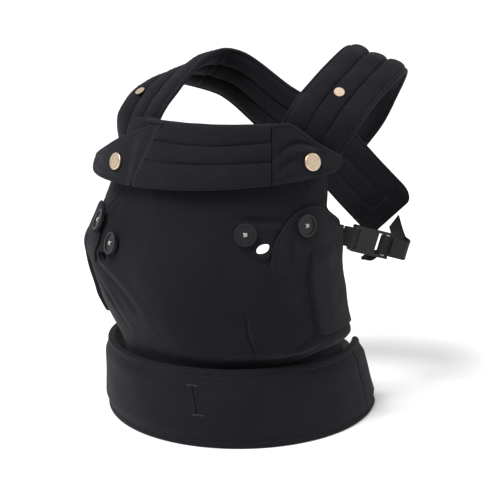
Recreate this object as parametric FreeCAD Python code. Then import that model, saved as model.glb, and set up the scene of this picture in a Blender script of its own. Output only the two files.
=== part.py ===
import FreeCAD, Part
import math
import os

# A soft baby carrier: a flared waist belt, a bulging seat panel, a headrest folded down over the panel's
# top, and two padded shoulder straps that cross behind the wearer and clip to the panel's sides.
#
# Frame: millimetres, +Z up, -Y the carrier's outer front, +X the right side seen from the front.
# The origin is under the middle of the belt's front, in the plane that the belt stands on.

Vector = FreeCAD.Vector

# ---- waist belt
waist_radius = 182.0        # middle of the belt's thickness, at the bottom edge
waist_squeeze = 0.965       # side-to-side radius as a share of the front radius
belt_flare = 13.0           # how much smaller the belt's radius is at its top edge
belt_lean = 13.0            # how far the top edge is shifted to the left
belt_height = 97.0
belt_end_drop = 8.0         # how much lower the top edge is at the belt's ends
belt_half_angle = 105.0     # degrees from the front to either end
belt_thickness = 16.0
slit_height = 41.0
slit_width = 1.5
slit_angle = 3.0            # middle of the slit in the belt's cover
slit_foot = 0.42            # height of the slit's lower end as a share of the belt's
foam_end_inset = 3.0        # degrees
foam_top_inset = 3.0

# ---- panel
panel_radius = 150.0        # level section through the seat
body_height = 400.0         # top of the panel
panel_thickness = 6.0
panel_half_angle = 92.0
panel_tuck = 37.0           # how far the panel reaches down behind the belt
bulge_start = 25.0          # angle where the panel begins to stand out at the leg openings
bulge_span = 50.0
corner_angle = 46.0         # where the panel's top edge ends and the shoulder strap begins
corner_drop = 72.0          # height over which the strap is sewn to the panel's side
strap_seam_angle = 28.0     # angle over which the strap is sewn to the panel's side
wing_thickness = 3.0        # side tab that carries the outer button
tab_inner_left = 50.0       # angle of each side tab's inner edge
tab_inner_right = 43.0
thigh_pad_thickness = 5.0
thigh_pad_start = 0.38      # share of the side tab's width
thigh_pad_inset = 2.0       # degrees
thigh_pad_ends = {1: (120.0, 238.0), -1: (141.0, 220.0)}
slot_length = 17.0          # slit in the panel between the two buttons of one side
slot_height = 11.0

# ---- headrest
headrest_drop = 77.0
headrest_slant = 7.0        # how much shorter the headrest is at its right side
headrest_thickness = 13.0
headrest_left = 36.0        # angle of the seam between the headrest and its left wing
headrest_right = 40.0
wing_left_angle = 42.0      # angle that each wing covers
wing_right_angle = 33.0
wing_left_flare = 16.0      # how far each wing's tip stands off the panel
wing_right_flare = 9.0
headrest_wing_thickness = 5.0
headrest_standoff = 4.0     # extra distance from the panel at the lower edge
headrest_rise = 3.0         # of the fold over the panel's top edge
headrest_clearance = 2.0

# ---- shoulder straps
strap_width = 84.0
strap_thickness = 15.0
strap_seam_gap = 16.0       # from the straight end of the pad to the panel's curved edge
strap_inset = 3.0
channels = 3
channel_seam = 0.06         # share of a channel's width that its seam takes on either side
strap_spans = 40            # spans of the spline surfaces along a strap
foam_start = 1 / strap_spans         # share of the strap's length before its foam begins

# ---- cloth, webbing and plastic
cloth = 1.2
gap = 0.3
side_webbing = 25.0
waist_webbing = 38.0
webbing_thickness = 1.6

# ---- buttons and press studs
button_diameter = 28.0
button_thickness = 4.0
button_stand = 1.8          # length of the thread shank under a button
button_hole = 2.4
button_hole_spacing = 5.0
cap_diameter = 21.5
cap_spots = {-1: (0.21, 0.56), 1: (0.464, 0.62)}     # shares of each headrest wing
cap_thickness = 2.6
stud_radius = 2.6
stud_height = 1.2
socket_depth = 1.6
socket_play = 2.6           # between a stud and its socket
strap_stud_diameter = 13.0
strap_stud_pin = 2.6
strap_stud_spots = {-1: (0.107, -16.0), 1: (0.136, -2.0)}     # share of the strap and distance across

# ---- side-release buckles
waist_buckle_inset = 50.0   # how far the waist buckle lies inside the belt's circle
waist_buckle_height = 45.0
buckle_wall = 3.0
buckle_height = 9.5
buckle_depth = 20.0         # how far the male half reaches into the female half
buckle_play = 0.4
bar = 3.0
lock_length = 28.0
arm_length = 17.5

# Size that the outlines below are drawn at; they are graded to the sizes above.
pattern_radius = 150.0
pattern_belt_height = 97.0
pattern_body_height = 400.0


# ---- numbers and points ------------------------------------------------------------------------------
def mix(low, high, share):
    return low + (high - low) * share


def smooth(rows, x):
    """Values at x from rows of (x, value, ...), along a cubic through every row."""
    if x <= rows[0][0]:
        return rows[0][1:]
    if x >= rows[-1][0]:
        return rows[-1][1:]
    i = max(k for k in range(len(rows) - 1) if rows[k][0] <= x)
    before, low, high, after = rows[max(i - 1, 0)], rows[i], rows[i + 1], rows[min(i + 2, len(rows) - 1)]
    span = high[0] - low[0]
    t = (x - low[0]) / span
    values = []
    for k in range(1, len(low)):
        low_slope = (high[k] - before[k]) / (high[0] - before[0]) * span
        high_slope = (after[k] - low[k]) / (after[0] - low[0]) * span
        values.append((2 * t ** 3 - 3 * t ** 2 + 1) * low[k] + (t ** 3 - 2 * t ** 2 + t) * low_slope
                      + (3 * t ** 2 - 2 * t ** 3) * high[k] + (t ** 3 - t ** 2) * high_slope)
    return tuple(values)


def graded_height(z):
    """Height in the model of a height in the pattern."""
    stretch = (body_height - belt_height) / (pattern_body_height - pattern_belt_height)
    return belt_height + (z - pattern_belt_height) * stretch


def graded(x, y, z):
    grade = panel_radius / pattern_radius
    return Vector(x * grade, y * grade, graded_height(z))


# ---- solids ------------------------------------------------------------------------------------------
def spline_poles(points):
    """Poles of the cubic spline through evenly spaced points."""
    curve = Part.BSplineCurve()
    curve.interpolate(Points=points, Parameters=[float(i) for i in range(len(points))])
    return curve.getPoles()


def surface_poles(point, offset, steps_u, steps_v):
    columns = [spline_poles([point(i / steps_u, j / steps_v, offset) for i in range(steps_u + 1)])
               for j in range(steps_v + 1)]
    return [spline_poles(list(row)) for row in zip(*columns)]


def spline_face(poles, degree_u, degree_v):
    spans_u = len(poles) - degree_u
    spans_v = len(poles[0]) - degree_v
    mults_u = [degree_u + 1] + [1] * (spans_u - 1) + [degree_u + 1]
    mults_v = [degree_v + 1] + [1] * (spans_v - 1) + [degree_v + 1]
    face = Part.BSplineSurface()
    face.buildFromPolesMultsKnots(poles, mults_u, mults_v, [float(i) for i in range(spans_u + 1)],
                                  [float(i) for i in range(spans_v + 1)], False, False, degree_u, degree_v)
    return face.toShape()


def sheet(point, inner, outer, steps_u=24, steps_v=6):
    """Closed solid between two offsets of point(u, v, offset), with u and v running from 0 to 1."""
    low = surface_poles(point, inner, steps_u, steps_v)
    high = surface_poles(point, outer, steps_u, steps_v)
    faces = [spline_face(low, 3, 3), spline_face(high, 3, 3)]
    for side in (0, -1):
        faces.append(spline_face([low[side], high[side]], 1, 3))
        faces.append(spline_face([[row[side] for row in low], [row[side] for row in high]], 1, 3))
    shell = Part.makeShell(faces)
    shell.sewShape()
    solid = Part.makeSolid(shell)
    if solid.Volume < 0:
        solid.reverse()
    return solid


def block(low, high):
    size = Vector(*high) - Vector(*low)
    return Part.makeBox(size.x, size.y, size.z, Vector(*low))


def disc(centre, axis, radius, thickness, start=0.0):
    return Part.makeCylinder(radius, thickness, centre + axis * start, axis)


def frame_at(origin, along, up):
    """Placement with local X along one direction and local Y as near as possible to another."""
    x = Vector(along).normalize()
    z = x.cross(up).normalize()
    y = z.cross(x)
    matrix = FreeCAD.Matrix(x.x, y.x, z.x, origin.x, x.y, y.y, z.y, origin.y, x.z, y.z, z.z, origin.z,
                            0, 0, 0, 1)
    return FreeCAD.Placement(matrix)


def placed(solid, placement):
    moved = solid.copy()
    moved.Placement = placement.multiply(moved.Placement)
    return moved


def group(solids):
    return Part.makeCompound(solids)


# ---- waist belt --------------------------------------------------------------------------------------
def belt_top(angle):
    return belt_height - belt_end_drop * (angle / belt_half_angle) ** 2


def belt_point(angle, share, offset):
    a = math.radians(angle)
    radius = waist_radius - belt_flare * share + offset
    return Vector(radius * waist_squeeze * math.sin(a) - belt_lean * share, -radius * math.cos(a),
                  belt_top(angle) * share)


def belt_layer(inner, outer, end_inset=0.0, top_inset=0.0):
    reach = belt_half_angle - end_inset
    below = -0.1

    def point(u, v, offset):
        angle = mix(-reach, reach, u)
        return belt_point(angle, mix(below, 1 - top_inset / belt_top(angle), v), offset)

    layer = sheet(point, inner, outer, 28, 3)
    span = 4 * waist_radius
    return layer.cut(block((-span, -span, -span), (span, span, 0)))


def make_belt():
    half = belt_thickness / 2
    foot = belt_point(slit_angle, slit_foot, half)
    head = belt_point(slit_angle, slit_foot + slit_height / belt_height, half)
    slit = block((-slit_width / 2, 0, -half), (slit_width / 2, slit_height, half))
    across = Vector(math.cos(math.radians(slit_angle)), math.sin(math.radians(slit_angle)), 0)
    return {
        "belt_cover": belt_layer(half - cloth, half).cut(placed(slit, frame_at(foot, across, head - foot))),
        "belt_lining": belt_layer(-half, -half + cloth),
        "belt_foam": belt_layer(-half + cloth + gap, half - 2 * cloth - 3 * gap, foam_end_inset,
                                foam_top_inset),
    }


# ---- panel -------------------------------------------------------------------------------------------
# Level sections of the pattern: height, radius, centre x, centre y.
panel_rows = [
    (117, 145, -5, -24),
    (138, 147, -6, -31),
    (165, 149, -8, -40),
    (230, 150, -12, -45),
    (310, 141, 0, -32),
    (400, 132, 0, -20),
]
base_forward = 16.0         # centre of the panel's round section at the belt, ahead of the waist's axis
base_clearance = 2.0


def belt_row(z):
    """Level section of the panel behind the belt, which keeps clear of the belt's inner face."""
    share = z / belt_height
    inside = waist_radius - belt_flare * share - belt_thickness / 2 - base_clearance - panel_thickness / 2
    return (z, inside - base_forward, -belt_lean * share, -base_forward)


def panel_section(z):
    grade = panel_radius / pattern_radius
    rows = [belt_row(z) for z in (belt_height - panel_tuck, belt_height - panel_tuck / 3, belt_height + 4)]
    rows += [(graded_height(h), radius * grade, x * grade, y * grade) for h, radius, x, y in panel_rows]
    return smooth(rows, z)


def side_bulge(angle, z):
    """The panel stands out at the leg openings, most of all on the left."""
    rows = [(97, 0, 0), (115, 7, 6), (165, 13, 9), (230, 19, 5), (290, 15, 2), (350, 11, 2), (400, 3, 0)]
    pattern_z = pattern_belt_height + (z - belt_height) / (graded_height(1) - graded_height(0))
    left, right = smooth(rows, pattern_z)
    share = min(max((abs(angle) - bulge_start) / bulge_span, 0.0), 1.0)
    return (left if angle < 0 else right) * share * share * (3 - 2 * share)


def panel_point(angle, z, offset):
    radius, x, y = panel_section(z)
    radius += side_bulge(angle, z)
    a = math.radians(angle)
    return Vector(x + (radius + offset) * math.sin(a), y - (radius + offset) * math.cos(a), z)


def panel_top(angle):
    """The top edge is level between the corners and falls along each strap's seam."""
    rows = [(corner_angle - 10, 0.0), (corner_angle, 0.05), (corner_angle + strap_seam_angle / 2, 0.52),
            (corner_angle + strap_seam_angle, 1.0), (panel_half_angle, 1.15)]
    return body_height - corner_drop * smooth(rows, abs(angle))[0]


def panel_foot(angle):
    """The foot is hidden behind the belt at the front and rises along the leg openings."""
    tucked = belt_height - panel_tuck
    rise = smooth([(-92, 75), (-75, 62), (-55, 36), (-40, 12), (-28, 0), (45, 0), (60, 4), (92, 6)], angle)[0]
    return tucked + rise * (body_height - tucked) / (pattern_body_height - 60)


def panel_layer(inner, outer):
    def point(u, v, offset):
        angle = mix(-panel_half_angle, panel_half_angle, u)
        return panel_point(angle, mix(panel_foot(angle), panel_top(angle), v), offset)

    return sheet(point, inner, outer, 36, 14)


# Middle of each button and slit: angle on the panel and height in the pattern.
inner_buttons = [(-40, 246), (28.5, 274)]
outer_buttons = [(-54, 267), (57.5, 279)]
slots = [(-45.5, 226), (39, 255)]


def slot_cutter(angle, z):
    middle = panel_point(angle, graded_height(z), 0)
    outward = Vector(math.sin(math.radians(angle)), -math.cos(math.radians(angle)), 0)
    place = frame_at(middle, outward.cross(Vector(0, 0, 1)) * -1, Vector(0, 0, 1))
    half = slot_length / 2 - slot_height / 2
    body = block((-half, -slot_height / 2, -20), (half, slot_height / 2, 20))
    ends = [Part.makeCylinder(slot_height / 2, 40, Vector(x, 0, -20)) for x in (-half, half)]
    return placed(body.fuse(ends), place)


def make_panel():
    half = panel_thickness / 2
    layers = {
        "panel_cover": panel_layer(half - cloth, half),
        "panel_padding": panel_layer(-half + cloth + gap, half - cloth - gap),
        "panel_lining": panel_layer(-half, -half + cloth),
    }
    for angle, z in slots:
        cutter = slot_cutter(angle, z)
        for name in layers:
            layers[name] = layers[name].cut(cutter)
    return layers


def wing_outline(side, share):
    """Foot and head of the side tab at a share of its width, from its inner edge to the panel's side."""
    head = smooth([(0.0, 262), (0.12, 289), (0.30, 300), (0.5, 296), (0.75, 272), (1.0, 262)], share)[0]
    foot = smooth([(0.0, 235), (0.12, 200), (0.35, 150), (1.0, 134)], share)[0]
    lift = -16 if side < 0 else 0
    foot_lift = 5 if side < 0 else 0
    return graded_height(foot + foot_lift), graded_height(head + lift)


def make_side(side, name):
    """Side tab with its padded thigh rest."""
    inner_edge = tab_inner_right if side > 0 else tab_inner_left
    outer_edge = panel_half_angle
    base = panel_thickness / 2 + 2 * gap

    def tab_point(u, v, offset):
        angle = side * mix(inner_edge, outer_edge, u)
        foot, head = wing_outline(side, u)
        return panel_point(angle, mix(foot, head, v), offset)

    def pad_point(u, v, offset):
        angle = side * mix(mix(inner_edge, outer_edge, thigh_pad_start), outer_edge - thigh_pad_inset, u)
        foot, head = thigh_pad_ends[side]
        return panel_point(angle, mix(graded_height(foot), graded_height(head), v), offset)

    return {
        "side_tab_" + name: sheet(tab_point, base, base + wing_thickness, 14, 8),
        "thigh_pad_" + name: sheet(pad_point, base + wing_thickness + gap,
                                   base + wing_thickness + gap + thigh_pad_thickness, 8, 6),
    }


# ---- buttons -----------------------------------------------------------------------------------------
def button_solid():
    """Four-hole button with a raised rim, its face towards local +Z."""
    radius = button_diameter / 2
    body = Part.makeCylinder(radius, button_thickness)
    body = body.cut(Part.makeCylinder(radius - 3, 1.2, Vector(0, 0, button_thickness - 1.2)))
    for x in (-1, 1):
        for y in (-1, 1):
            hole = Vector(x * button_hole_spacing / 2, y * button_hole_spacing / 2, 0)
            body = body.cut(Part.makeCylinder(button_hole / 2, button_thickness, hole))
    return body


def thread_solid():
    """Two crossed stitches over the button's face, joined to the shank under it."""
    reach = button_hole_spacing / 2 ** 0.5
    top = button_thickness - 1.2 + gap
    stitches = []
    for turn in (45, 135):
        bar_over = block((-reach, -0.5, top), (reach, 0.5, top + 0.8))
        legs = [Part.makeCylinder(0.5, top + 0.8, Vector(x, 0, 0)) for x in (-reach, reach)]
        stitch = bar_over.fuse(legs)
        stitch.rotate(Vector(0, 0, 0), Vector(0, 0, 1), turn)
        stitches.append(stitch)
    return stitches[0].fuse(stitches[1])


def panel_place(angle, z, offset):
    """Placement on the panel, with local Z pointing outwards and local Y up the surface."""
    here = panel_point(angle, z, offset)
    up = panel_point(angle, z + 2, offset) - panel_point(angle, z - 2, offset)
    a = math.radians(angle)
    sideways = Vector(math.cos(a), math.sin(a), 0)
    return frame_at(here, sideways, up)


def make_buttons():
    over_panel = panel_thickness / 2 + gap
    over_tab = over_panel + wing_thickness + 2 * gap
    found = {"inner_buttons": [], "outer_buttons": [], "button_threads": []}
    for name, places, base in (("inner_buttons", inner_buttons, over_panel),
                               ("outer_buttons", outer_buttons, over_tab)):
        for angle, z in places:
            place = panel_place(angle, graded_height(z), base + button_stand)
            found[name].append(placed(button_solid(), place))
            found["button_threads"].append(placed(thread_solid(), place))
    return {name: group(solids) for name, solids in found.items()}


# ---- headrest ----------------------------------------------------------------------------------------
def headrest_offset(share):
    base = panel_thickness / 2 + headrest_clearance + headrest_thickness / 2
    return base + headrest_standoff * share


def headrest_point(angle, share, offset):
    """Folded-down headrest: share runs from its fold to its lower edge."""
    drop = headrest_drop - headrest_slant * angle / headrest_right
    return panel_point(angle, body_height + headrest_rise - drop * share, headrest_offset(share) + offset)


def headrest_layer(inner, outer, low_share=0.0, high_share=1.0, inset=0.0):
    def point(u, v, offset):
        angle = mix(-headrest_left + inset, headrest_right - inset, u)
        return headrest_point(angle, mix(low_share, high_share, v), offset)

    return sheet(point, inner, outer, 18, 5)


def wing_reach(side, u):
    """Upper and lower edge of a headrest wing as shares of the drop, from its seam to its rounded tip."""
    if side < 0:
        upper = smooth([(0.0, 0.215), (0.24, 0.33), (0.6, 0.55), (0.88, 0.69), (1.0, 0.75)], u)[0]
        lower = smooth([(0.0, 1.0), (0.6, 0.945), (0.88, 0.89), (1.0, 0.815)], u)[0]
    else:
        upper = smooth([(0.0, 0.0), (0.2, 0.02), (0.6, 0.38), (0.88, 0.60), (1.0, 0.70)], u)[0]
        lower = smooth([(0.0, 1.0), (0.5, 0.98), (0.88, 0.95), (1.0, 0.86)], u)[0]
    return upper, lower


def wing_point(side, u, v, offset):
    seam, span, flare = ((headrest_left, wing_left_angle, wing_left_flare) if side < 0
                         else (headrest_right, wing_right_angle, wing_right_flare))
    upper, lower = wing_reach(side, u)
    angle = side * mix(seam + 0.6, seam + span, u)
    return headrest_point(angle, mix(upper, lower, v), offset + flare * u)


def make_headrest():
    half = headrest_thickness / 2
    made = {
        "headrest_cover": headrest_layer(half - cloth, half),
        "headrest_backing": headrest_layer(-half, -half + cloth),
    }
    for i in range(channels):
        low = (i + 0.04) / channels
        high = (i + 0.96) / channels
        made["headrest_roll_%d" % (i + 1)] = headrest_layer(-half + cloth + gap, half - cloth - gap,
                                                            low, high, 1.0)
    return made


def cap_place(side):
    """Placement of a headrest wing's press stud, local Z outwards."""
    u, v = cap_spots[side]
    step = 0.02
    here = wing_point(side, u, v, 0)
    across = (wing_point(side, u + step, v, 0) - wing_point(side, u - step, v, 0)) * side
    up = wing_point(side, u, v - step, 0) - wing_point(side, u, v + step, 0)
    return frame_at(here, across, up)


def make_wing(side, name):
    half = headrest_wing_thickness / 2
    socket_radius = cap_diameter / 2 - 2.0
    seat = half + 3 * gap

    def point(u, v, offset):
        return wing_point(side, u, v, offset)

    place = cap_place(side)
    wing = sheet(point, -half, half, 8, 6)
    wing = wing.cut(placed(Part.makeCylinder(stud_radius + socket_play + gap, 30, Vector(0, 0, -15)), place))
    cap = Part.makeCylinder(cap_diameter / 2, cap_thickness, Vector(0, 0, seat))
    cap = cap.makeFillet(0.9, [max(cap.Edges, key=lambda e: e.BoundBox.ZMin)])
    socket = Part.makeCylinder(socket_radius, socket_depth, Vector(0, 0, -seat - socket_depth))
    opening = Part.makeCylinder(stud_radius + socket_play, socket_depth, Vector(0, 0, -seat - socket_depth))
    shank = Part.makeCylinder(stud_radius + socket_play, half + seat, Vector(0, 0, -half))
    return {
        "headrest_wing_" + name: wing,
        "snap_cap_" + name: placed(cap.fuse(shank), place),
        "snap_socket_" + name: placed(socket.cut(opening), place),
    }


# ---- shoulder straps ---------------------------------------------------------------------------------
# Route of each strap in the pattern: middle of the strap, then its direction of width.
left_route = [
    ((-111, -78, 391), (78, -18, 30)),
    ((-107, -57, 409), (82, -14, 22)),
    ((-101, -26, 426), (82, -8, 25)),
    ((-91, 20, 438), (73, -20, 37)),
    ((-70, 61, 437), (63, -19, 54)),
    ((-40, 82, 425), (54, -27, 59)),
    ((18, 84, 383), (63, -20, 49)),
    ((84, 77, 344), (62, -6, 54)),
    ((144, 71, 290), (60, -2, 55)),
    ((184, 76, 250), (58, 0, 56)),
]
right_route = [
    ((127, -82, 391), (58, 30, -42)),
    ((139, -65, 414), (78, 10, -30)),
    ((155, -25, 442), (80, 4, -30)),
    ((168, 34, 463), (80, 1, -28)),
    ((150, 90, 436), (75, -18, -28)),
    ((124, 120, 388), (70, -22, -20)),
    ((88, 124, 336), (71, -22, -1)),
    ((50, 110, 278), (66, -36, -5)),
    ((14, 84, 229), (62, -45, -10)),
]


def strap_stations(side):
    """Rows of distance, middle and unit width direction; the first lies on the panel's corner seam."""
    neck = panel_point(side * corner_angle, body_height, -strap_inset)
    shoulder_angle = corner_angle + strap_seam_angle
    shoulder = panel_point(side * shoulder_angle, panel_top(shoulder_angle), -strap_inset)
    across = neck - shoulder if side < 0 else shoulder - neck
    route = [(graded(*middle), Vector(*width).normalize())
             for middle, width in (left_route if side < 0 else right_route)]
    seam = (neck + shoulder) * 0.5
    start = seam + (route[0][0] - seam).normalize() * strap_seam_gap
    stations = [(start, across.normalize())] + route
    rows = []
    distance = 0.0
    for i, (middle, width) in enumerate(stations):
        if i:
            distance += (middle - stations[i - 1][0]).Length
        rows.append((distance, middle.x, middle.y, middle.z, width.x, width.y, width.z))
    return rows


def ribbon_point(rows, u, across, offset):
    """Point on a ribbon at a share of its length, a distance across it and a distance off its surface."""
    length = rows[-1][0]
    here = smooth(rows, u * length)
    ahead = smooth(rows, min(u * length + 1.0, length))
    behind = smooth(rows, max(u * length - 1.0, 0.0))
    along = Vector(*ahead[:3]) - Vector(*behind[:3])
    width = Vector(*here[3:]).normalize()
    outward = along.cross(width).normalize()
    width = outward.cross(along).normalize()
    return Vector(*here[:3]) + width * across + outward * offset


def strap_point(rows, u, across, offset):
    """The strap is thin where it is sewn to the panel and padded from there on."""
    fullness = smooth([(0.0, 0.38), (0.06, 0.6), (0.14, 1.0), (1.0, 1.0)], u)[0]
    return ribbon_point(rows, u, across, offset * fullness)


def strap_layer(side, inner, outer, low=-0.5, high=0.5, start=0.0):
    rows = strap_stations(side)

    def point(u, v, offset):
        return strap_point(rows, mix(start, 1.0, u), mix(low, high, v) * strap_width, offset)

    return sheet(point, inner, outer, round(strap_spans * (1 - start)), 3)


def make_strap(side, name):
    half = strap_thickness / 2
    made = {
        "strap_cover_" + name: strap_layer(side, half - cloth, half),
        "strap_lining_" + name: strap_layer(side, -half, -half + cloth),
    }
    pitch = 1.0 / channels
    for i in range(channels):
        low = -0.5 + (i + channel_seam) * pitch
        high = -0.5 + (i + 1 - channel_seam) * pitch
        made["strap_foam_%s_%d" % (name, i + 1)] = strap_layer(side, -half + cloth + 3 * gap,
                                                               half - cloth - 2 * gap, low, high,
                                                               foam_start)
    return made


# ---- side-release buckles ----------------------------------------------------------------------------
def web_loop(width, bar_x, reach, inner_radius):
    """Webbing turned round a bar that lies along local Y, with both ends on the same side of it."""
    outer = inner_radius + webbing_thickness
    turn = -1 if reach > bar_x else 1

    def corner(x, z):
        return Vector(x, -width / 2, z)

    def half_round(radius):
        mid = corner(bar_x + turn * radius, 0)
        return Part.Arc(corner(bar_x, radius), mid, corner(bar_x, -radius)).toShape()

    edges = [
        half_round(outer),
        Part.makeLine(corner(bar_x, -outer), corner(reach, -outer)),
        Part.makeLine(corner(reach, -outer), corner(reach, -inner_radius)),
        Part.makeLine(corner(reach, -inner_radius), corner(bar_x, -inner_radius)),
        half_round(inner_radius),
        Part.makeLine(corner(bar_x, inner_radius), corner(reach, inner_radius)),
        Part.makeLine(corner(reach, inner_radius), corner(reach, outer)),
        Part.makeLine(corner(reach, outer), corner(bar_x, outer)),
    ]
    wire = Part.Wire(Part.__sortEdges__(edges))
    return Part.Face(wire).extrude(Vector(0, width, 0))


buckle_web_gap = 5.0        # slot for the webbing between the buckle's box and its bar
buckle_back_wall = 2.0
buckle_side_play = 1.5      # from the webbing's edge to the buckle's wall
lock_bar = 14.0             # place of the male half's inner bar
web_bend = 2.6              # inner radius of webbing round a lock's bar
stub_bend = 3.2
tail_height = 6.0           # of the strap's own webbing over the male half's middle


def female_bar():
    """Middle of the female half's bar."""
    return -buckle_depth - buckle_back_wall - buckle_web_gap - bar / 2


def buckle_female(web):
    """Mouth at local X = 0, bar at the far end."""
    half_width = web / 2 + buckle_side_play + buckle_wall
    back = -buckle_depth - buckle_back_wall
    end = back - buckle_web_gap - bar
    body = block((end, -half_width, -buckle_height / 2), (0, half_width, buckle_height / 2))
    upright = [e for e in body.Edges if abs(e.tangentAt(e.FirstParameter).z) > 0.9]
    body = body.makeFillet(3.0, upright)
    inside = web / 2 + buckle_side_play
    cavity = block((-buckle_depth, -inside, -3), (0, inside, 3))
    windows = block((-buckle_depth + 3, -half_width, -3), (-7, half_width, 3))
    slot = block((end + bar, -web / 2 - 0.75, -buckle_height), (back, web / 2 + 0.75, buckle_height))
    shallow = block((end, -web / 2 - 0.75, 2.5), (back, web / 2 + 0.75, buckle_height))
    deep = block((end, -web / 2 - 0.75, -buckle_height), (back, web / 2 + 0.75, -2.5))
    return body.cut([cavity, windows, slot, shallow, deep])


def buckle_male(web):
    half_width = web / 2 + buckle_side_play + buckle_wall
    base = block((0.9, -half_width, -3.5), (6, half_width, 3.5))
    guide = block((-buckle_depth + 4, -3, -2), (2, 3, 2))
    rails = [block((5, side * half_width - (3.5 if side > 0 else 0), -2.5),
                   (lock_length, side * half_width + (0 if side > 0 else 3.5), 2.5)) for side in (-1, 1)]
    bars = [block((x, -half_width + 1, -2), (x + bar, half_width - 1, 2))
            for x in (lock_bar, lock_length - bar)]
    return base.fuse([guide] + rails + bars).removeSplitter()


def buckle_arm(web, side):
    """Springy arm with its thumb pad, hinged where it meets the male half."""
    root_y = web / 2 - 6.5
    tip_y = web / 2 + buckle_side_play - buckle_play - 0.2
    points = [(0.1, root_y), (0.1, root_y + 3), (-arm_length + 9, root_y + 3.4),
              (-arm_length + 7.5, tip_y), (-arm_length + 2, tip_y), (-arm_length, root_y + 3),
              (-arm_length, root_y)]
    wire = Part.makePolygon([Vector(x, side * y, -2.6) for x, y in points + points[:1]])
    arm = Part.Face(wire).extrude(Vector(0, 0, 5.2))
    return arm


def make_buckle(web, place, name, stub_reach):
    return {
        "%s_buckle_female" % name: placed(buckle_female(web), place),
        "%s_buckle_male" % name: placed(buckle_male(web), place),
        "%s_buckle_arm_upper" % name: placed(buckle_arm(web, 1), place),
        "%s_buckle_arm_lower" % name: placed(buckle_arm(web, -1), place),
        "%s_female_webbing" % name: placed(web_loop(web, female_bar(), female_bar() - stub_reach, stub_bend),
                                           place),
        "%s_male_webbing" % name: placed(web_loop(web, lock_bar + bar / 2, lock_length + 2, web_bend), place),
    }


# ---- webbing -----------------------------------------------------------------------------------------
def ribbon(points, widths, width, thickness, steps=24):
    rows = []
    distance = 0.0
    for i, (middle, across) in enumerate(zip(points, widths)):
        if i:
            distance += (middle - points[i - 1]).Length
        rows.append((distance, middle.x, middle.y, middle.z, across.x, across.y, across.z))

    def point(u, v, offset):
        return ribbon_point(rows, u, mix(-width / 2, width / 2, v), offset)

    return sheet(point, -thickness / 2, thickness / 2, steps, 3)


def local(place, x, y, z):
    return place.multVec(Vector(x, y, z))


side_stub = 14.0            # from a side buckle's bar to the end of its sewn webbing
waist_stub = 15.5
panel_reach = 20.0          # from the panel's edge to the side buckle's bar
side_heights = {"right": 250.0, "left": 242.0}
side_directions = {"right": Vector(0.705, 0.641, -0.308), "left": Vector(0.86, 0.50, -0.06)}


def side_places():
    """Placements of the two side buckles, with local X pointing from the panel to the strap."""
    found = {}
    for side, name in ((1, "right"), (-1, "left")):
        edge = panel_point(side * panel_half_angle, graded_height(side_heights[name]), 0)
        along = Vector(side_directions[name]).normalize()
        reach = panel_reach - female_bar() + bar / 2
        found[name] = frame_at(edge + along * reach, along, Vector(0, 0, 1))
    return found


lead_clearance = 7.0        # from the padding's end face to the webbing's
right_lead = [(32, 0, tail_height), (42, 0, tail_height), (51, 0, 5), (55, 2, -3), (52, 5, -14)]
left_lead = [(32, 0, tail_height), (48, 0, tail_height), (70, 0, tail_height)]


def strap_lead(place, route, strap_side):
    """The strap's own webbing, from the male half to the end of the padding."""
    strap_end = ribbon_point(strap_stations(strap_side), 1.0, 0, 0)
    points = [local(place, *spot) for spot in route]
    points.append(strap_end + (points[-1] - strap_end).normalize() * (strap_thickness / 2 + lead_clearance))
    local_up = local(place, 0, 1, 0) - local(place, 0, 0, 0)
    return ribbon(points, [local_up] * len(points), side_webbing, webbing_thickness)


def make_sides():
    places = side_places()
    made = {}
    for name, place in places.items():
        made.update(make_buckle(side_webbing, place, "side_" + name, side_stub))
    made["side_right_strap_webbing"] = strap_lead(places["right"], right_lead, -1)
    made["side_left_strap_webbing"] = strap_lead(places["left"], left_lead, 1)
    return made


waist_lead_drop = 7.0       # of the belt's webbing under the buckle's middle
waist_lead_reach = {-1: 58.0, 1: 50.0}
waist_lead_overlap = 18.0
belt_webbing_clearance = 1.0
waist_bend_width = 0.78     # where the webbing turns towards the buckle: share of the belt end's X
waist_bend_depth = 0.62     # and how far back, from the belt's end to the buckle


def make_waist():
    back = Vector(0, waist_radius - waist_buckle_inset, waist_buckle_height)
    place = frame_at(back, Vector(1, 0, 0), Vector(0, 0, 1))
    made = make_buckle(waist_webbing, place, "waist", waist_stub)
    inside = -belt_thickness / 2 - webbing_thickness - belt_webbing_clearance
    for side, name in ((-1, "left"), (1, "right")):
        angles = [side * (belt_half_angle + past) for past in (-10, -6, -2, 2)]
        sewn = [belt_point(angle, 0.5, inside) for angle in angles]
        leaning = [(belt_point(angle, 0.7, inside) - belt_point(angle, 0.3, inside)).normalize()
                   for angle in angles]
        bend = Vector(sewn[-1].x * waist_bend_width, mix(sewn[-1].y, back.y, waist_bend_depth), back.z)
        reach = waist_lead_reach[side]
        finish = [local(place, side * reach, 0, -waist_lead_drop),
                  local(place, side * (reach - waist_lead_overlap), 0, -waist_lead_drop)]
        widths = leaning + [Vector(0, 0, 1)] * 3
        made["waist_webbing_" + name] = ribbon(sewn + [bend] + finish, widths, waist_webbing,
                                               webbing_thickness)
    return made


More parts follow.
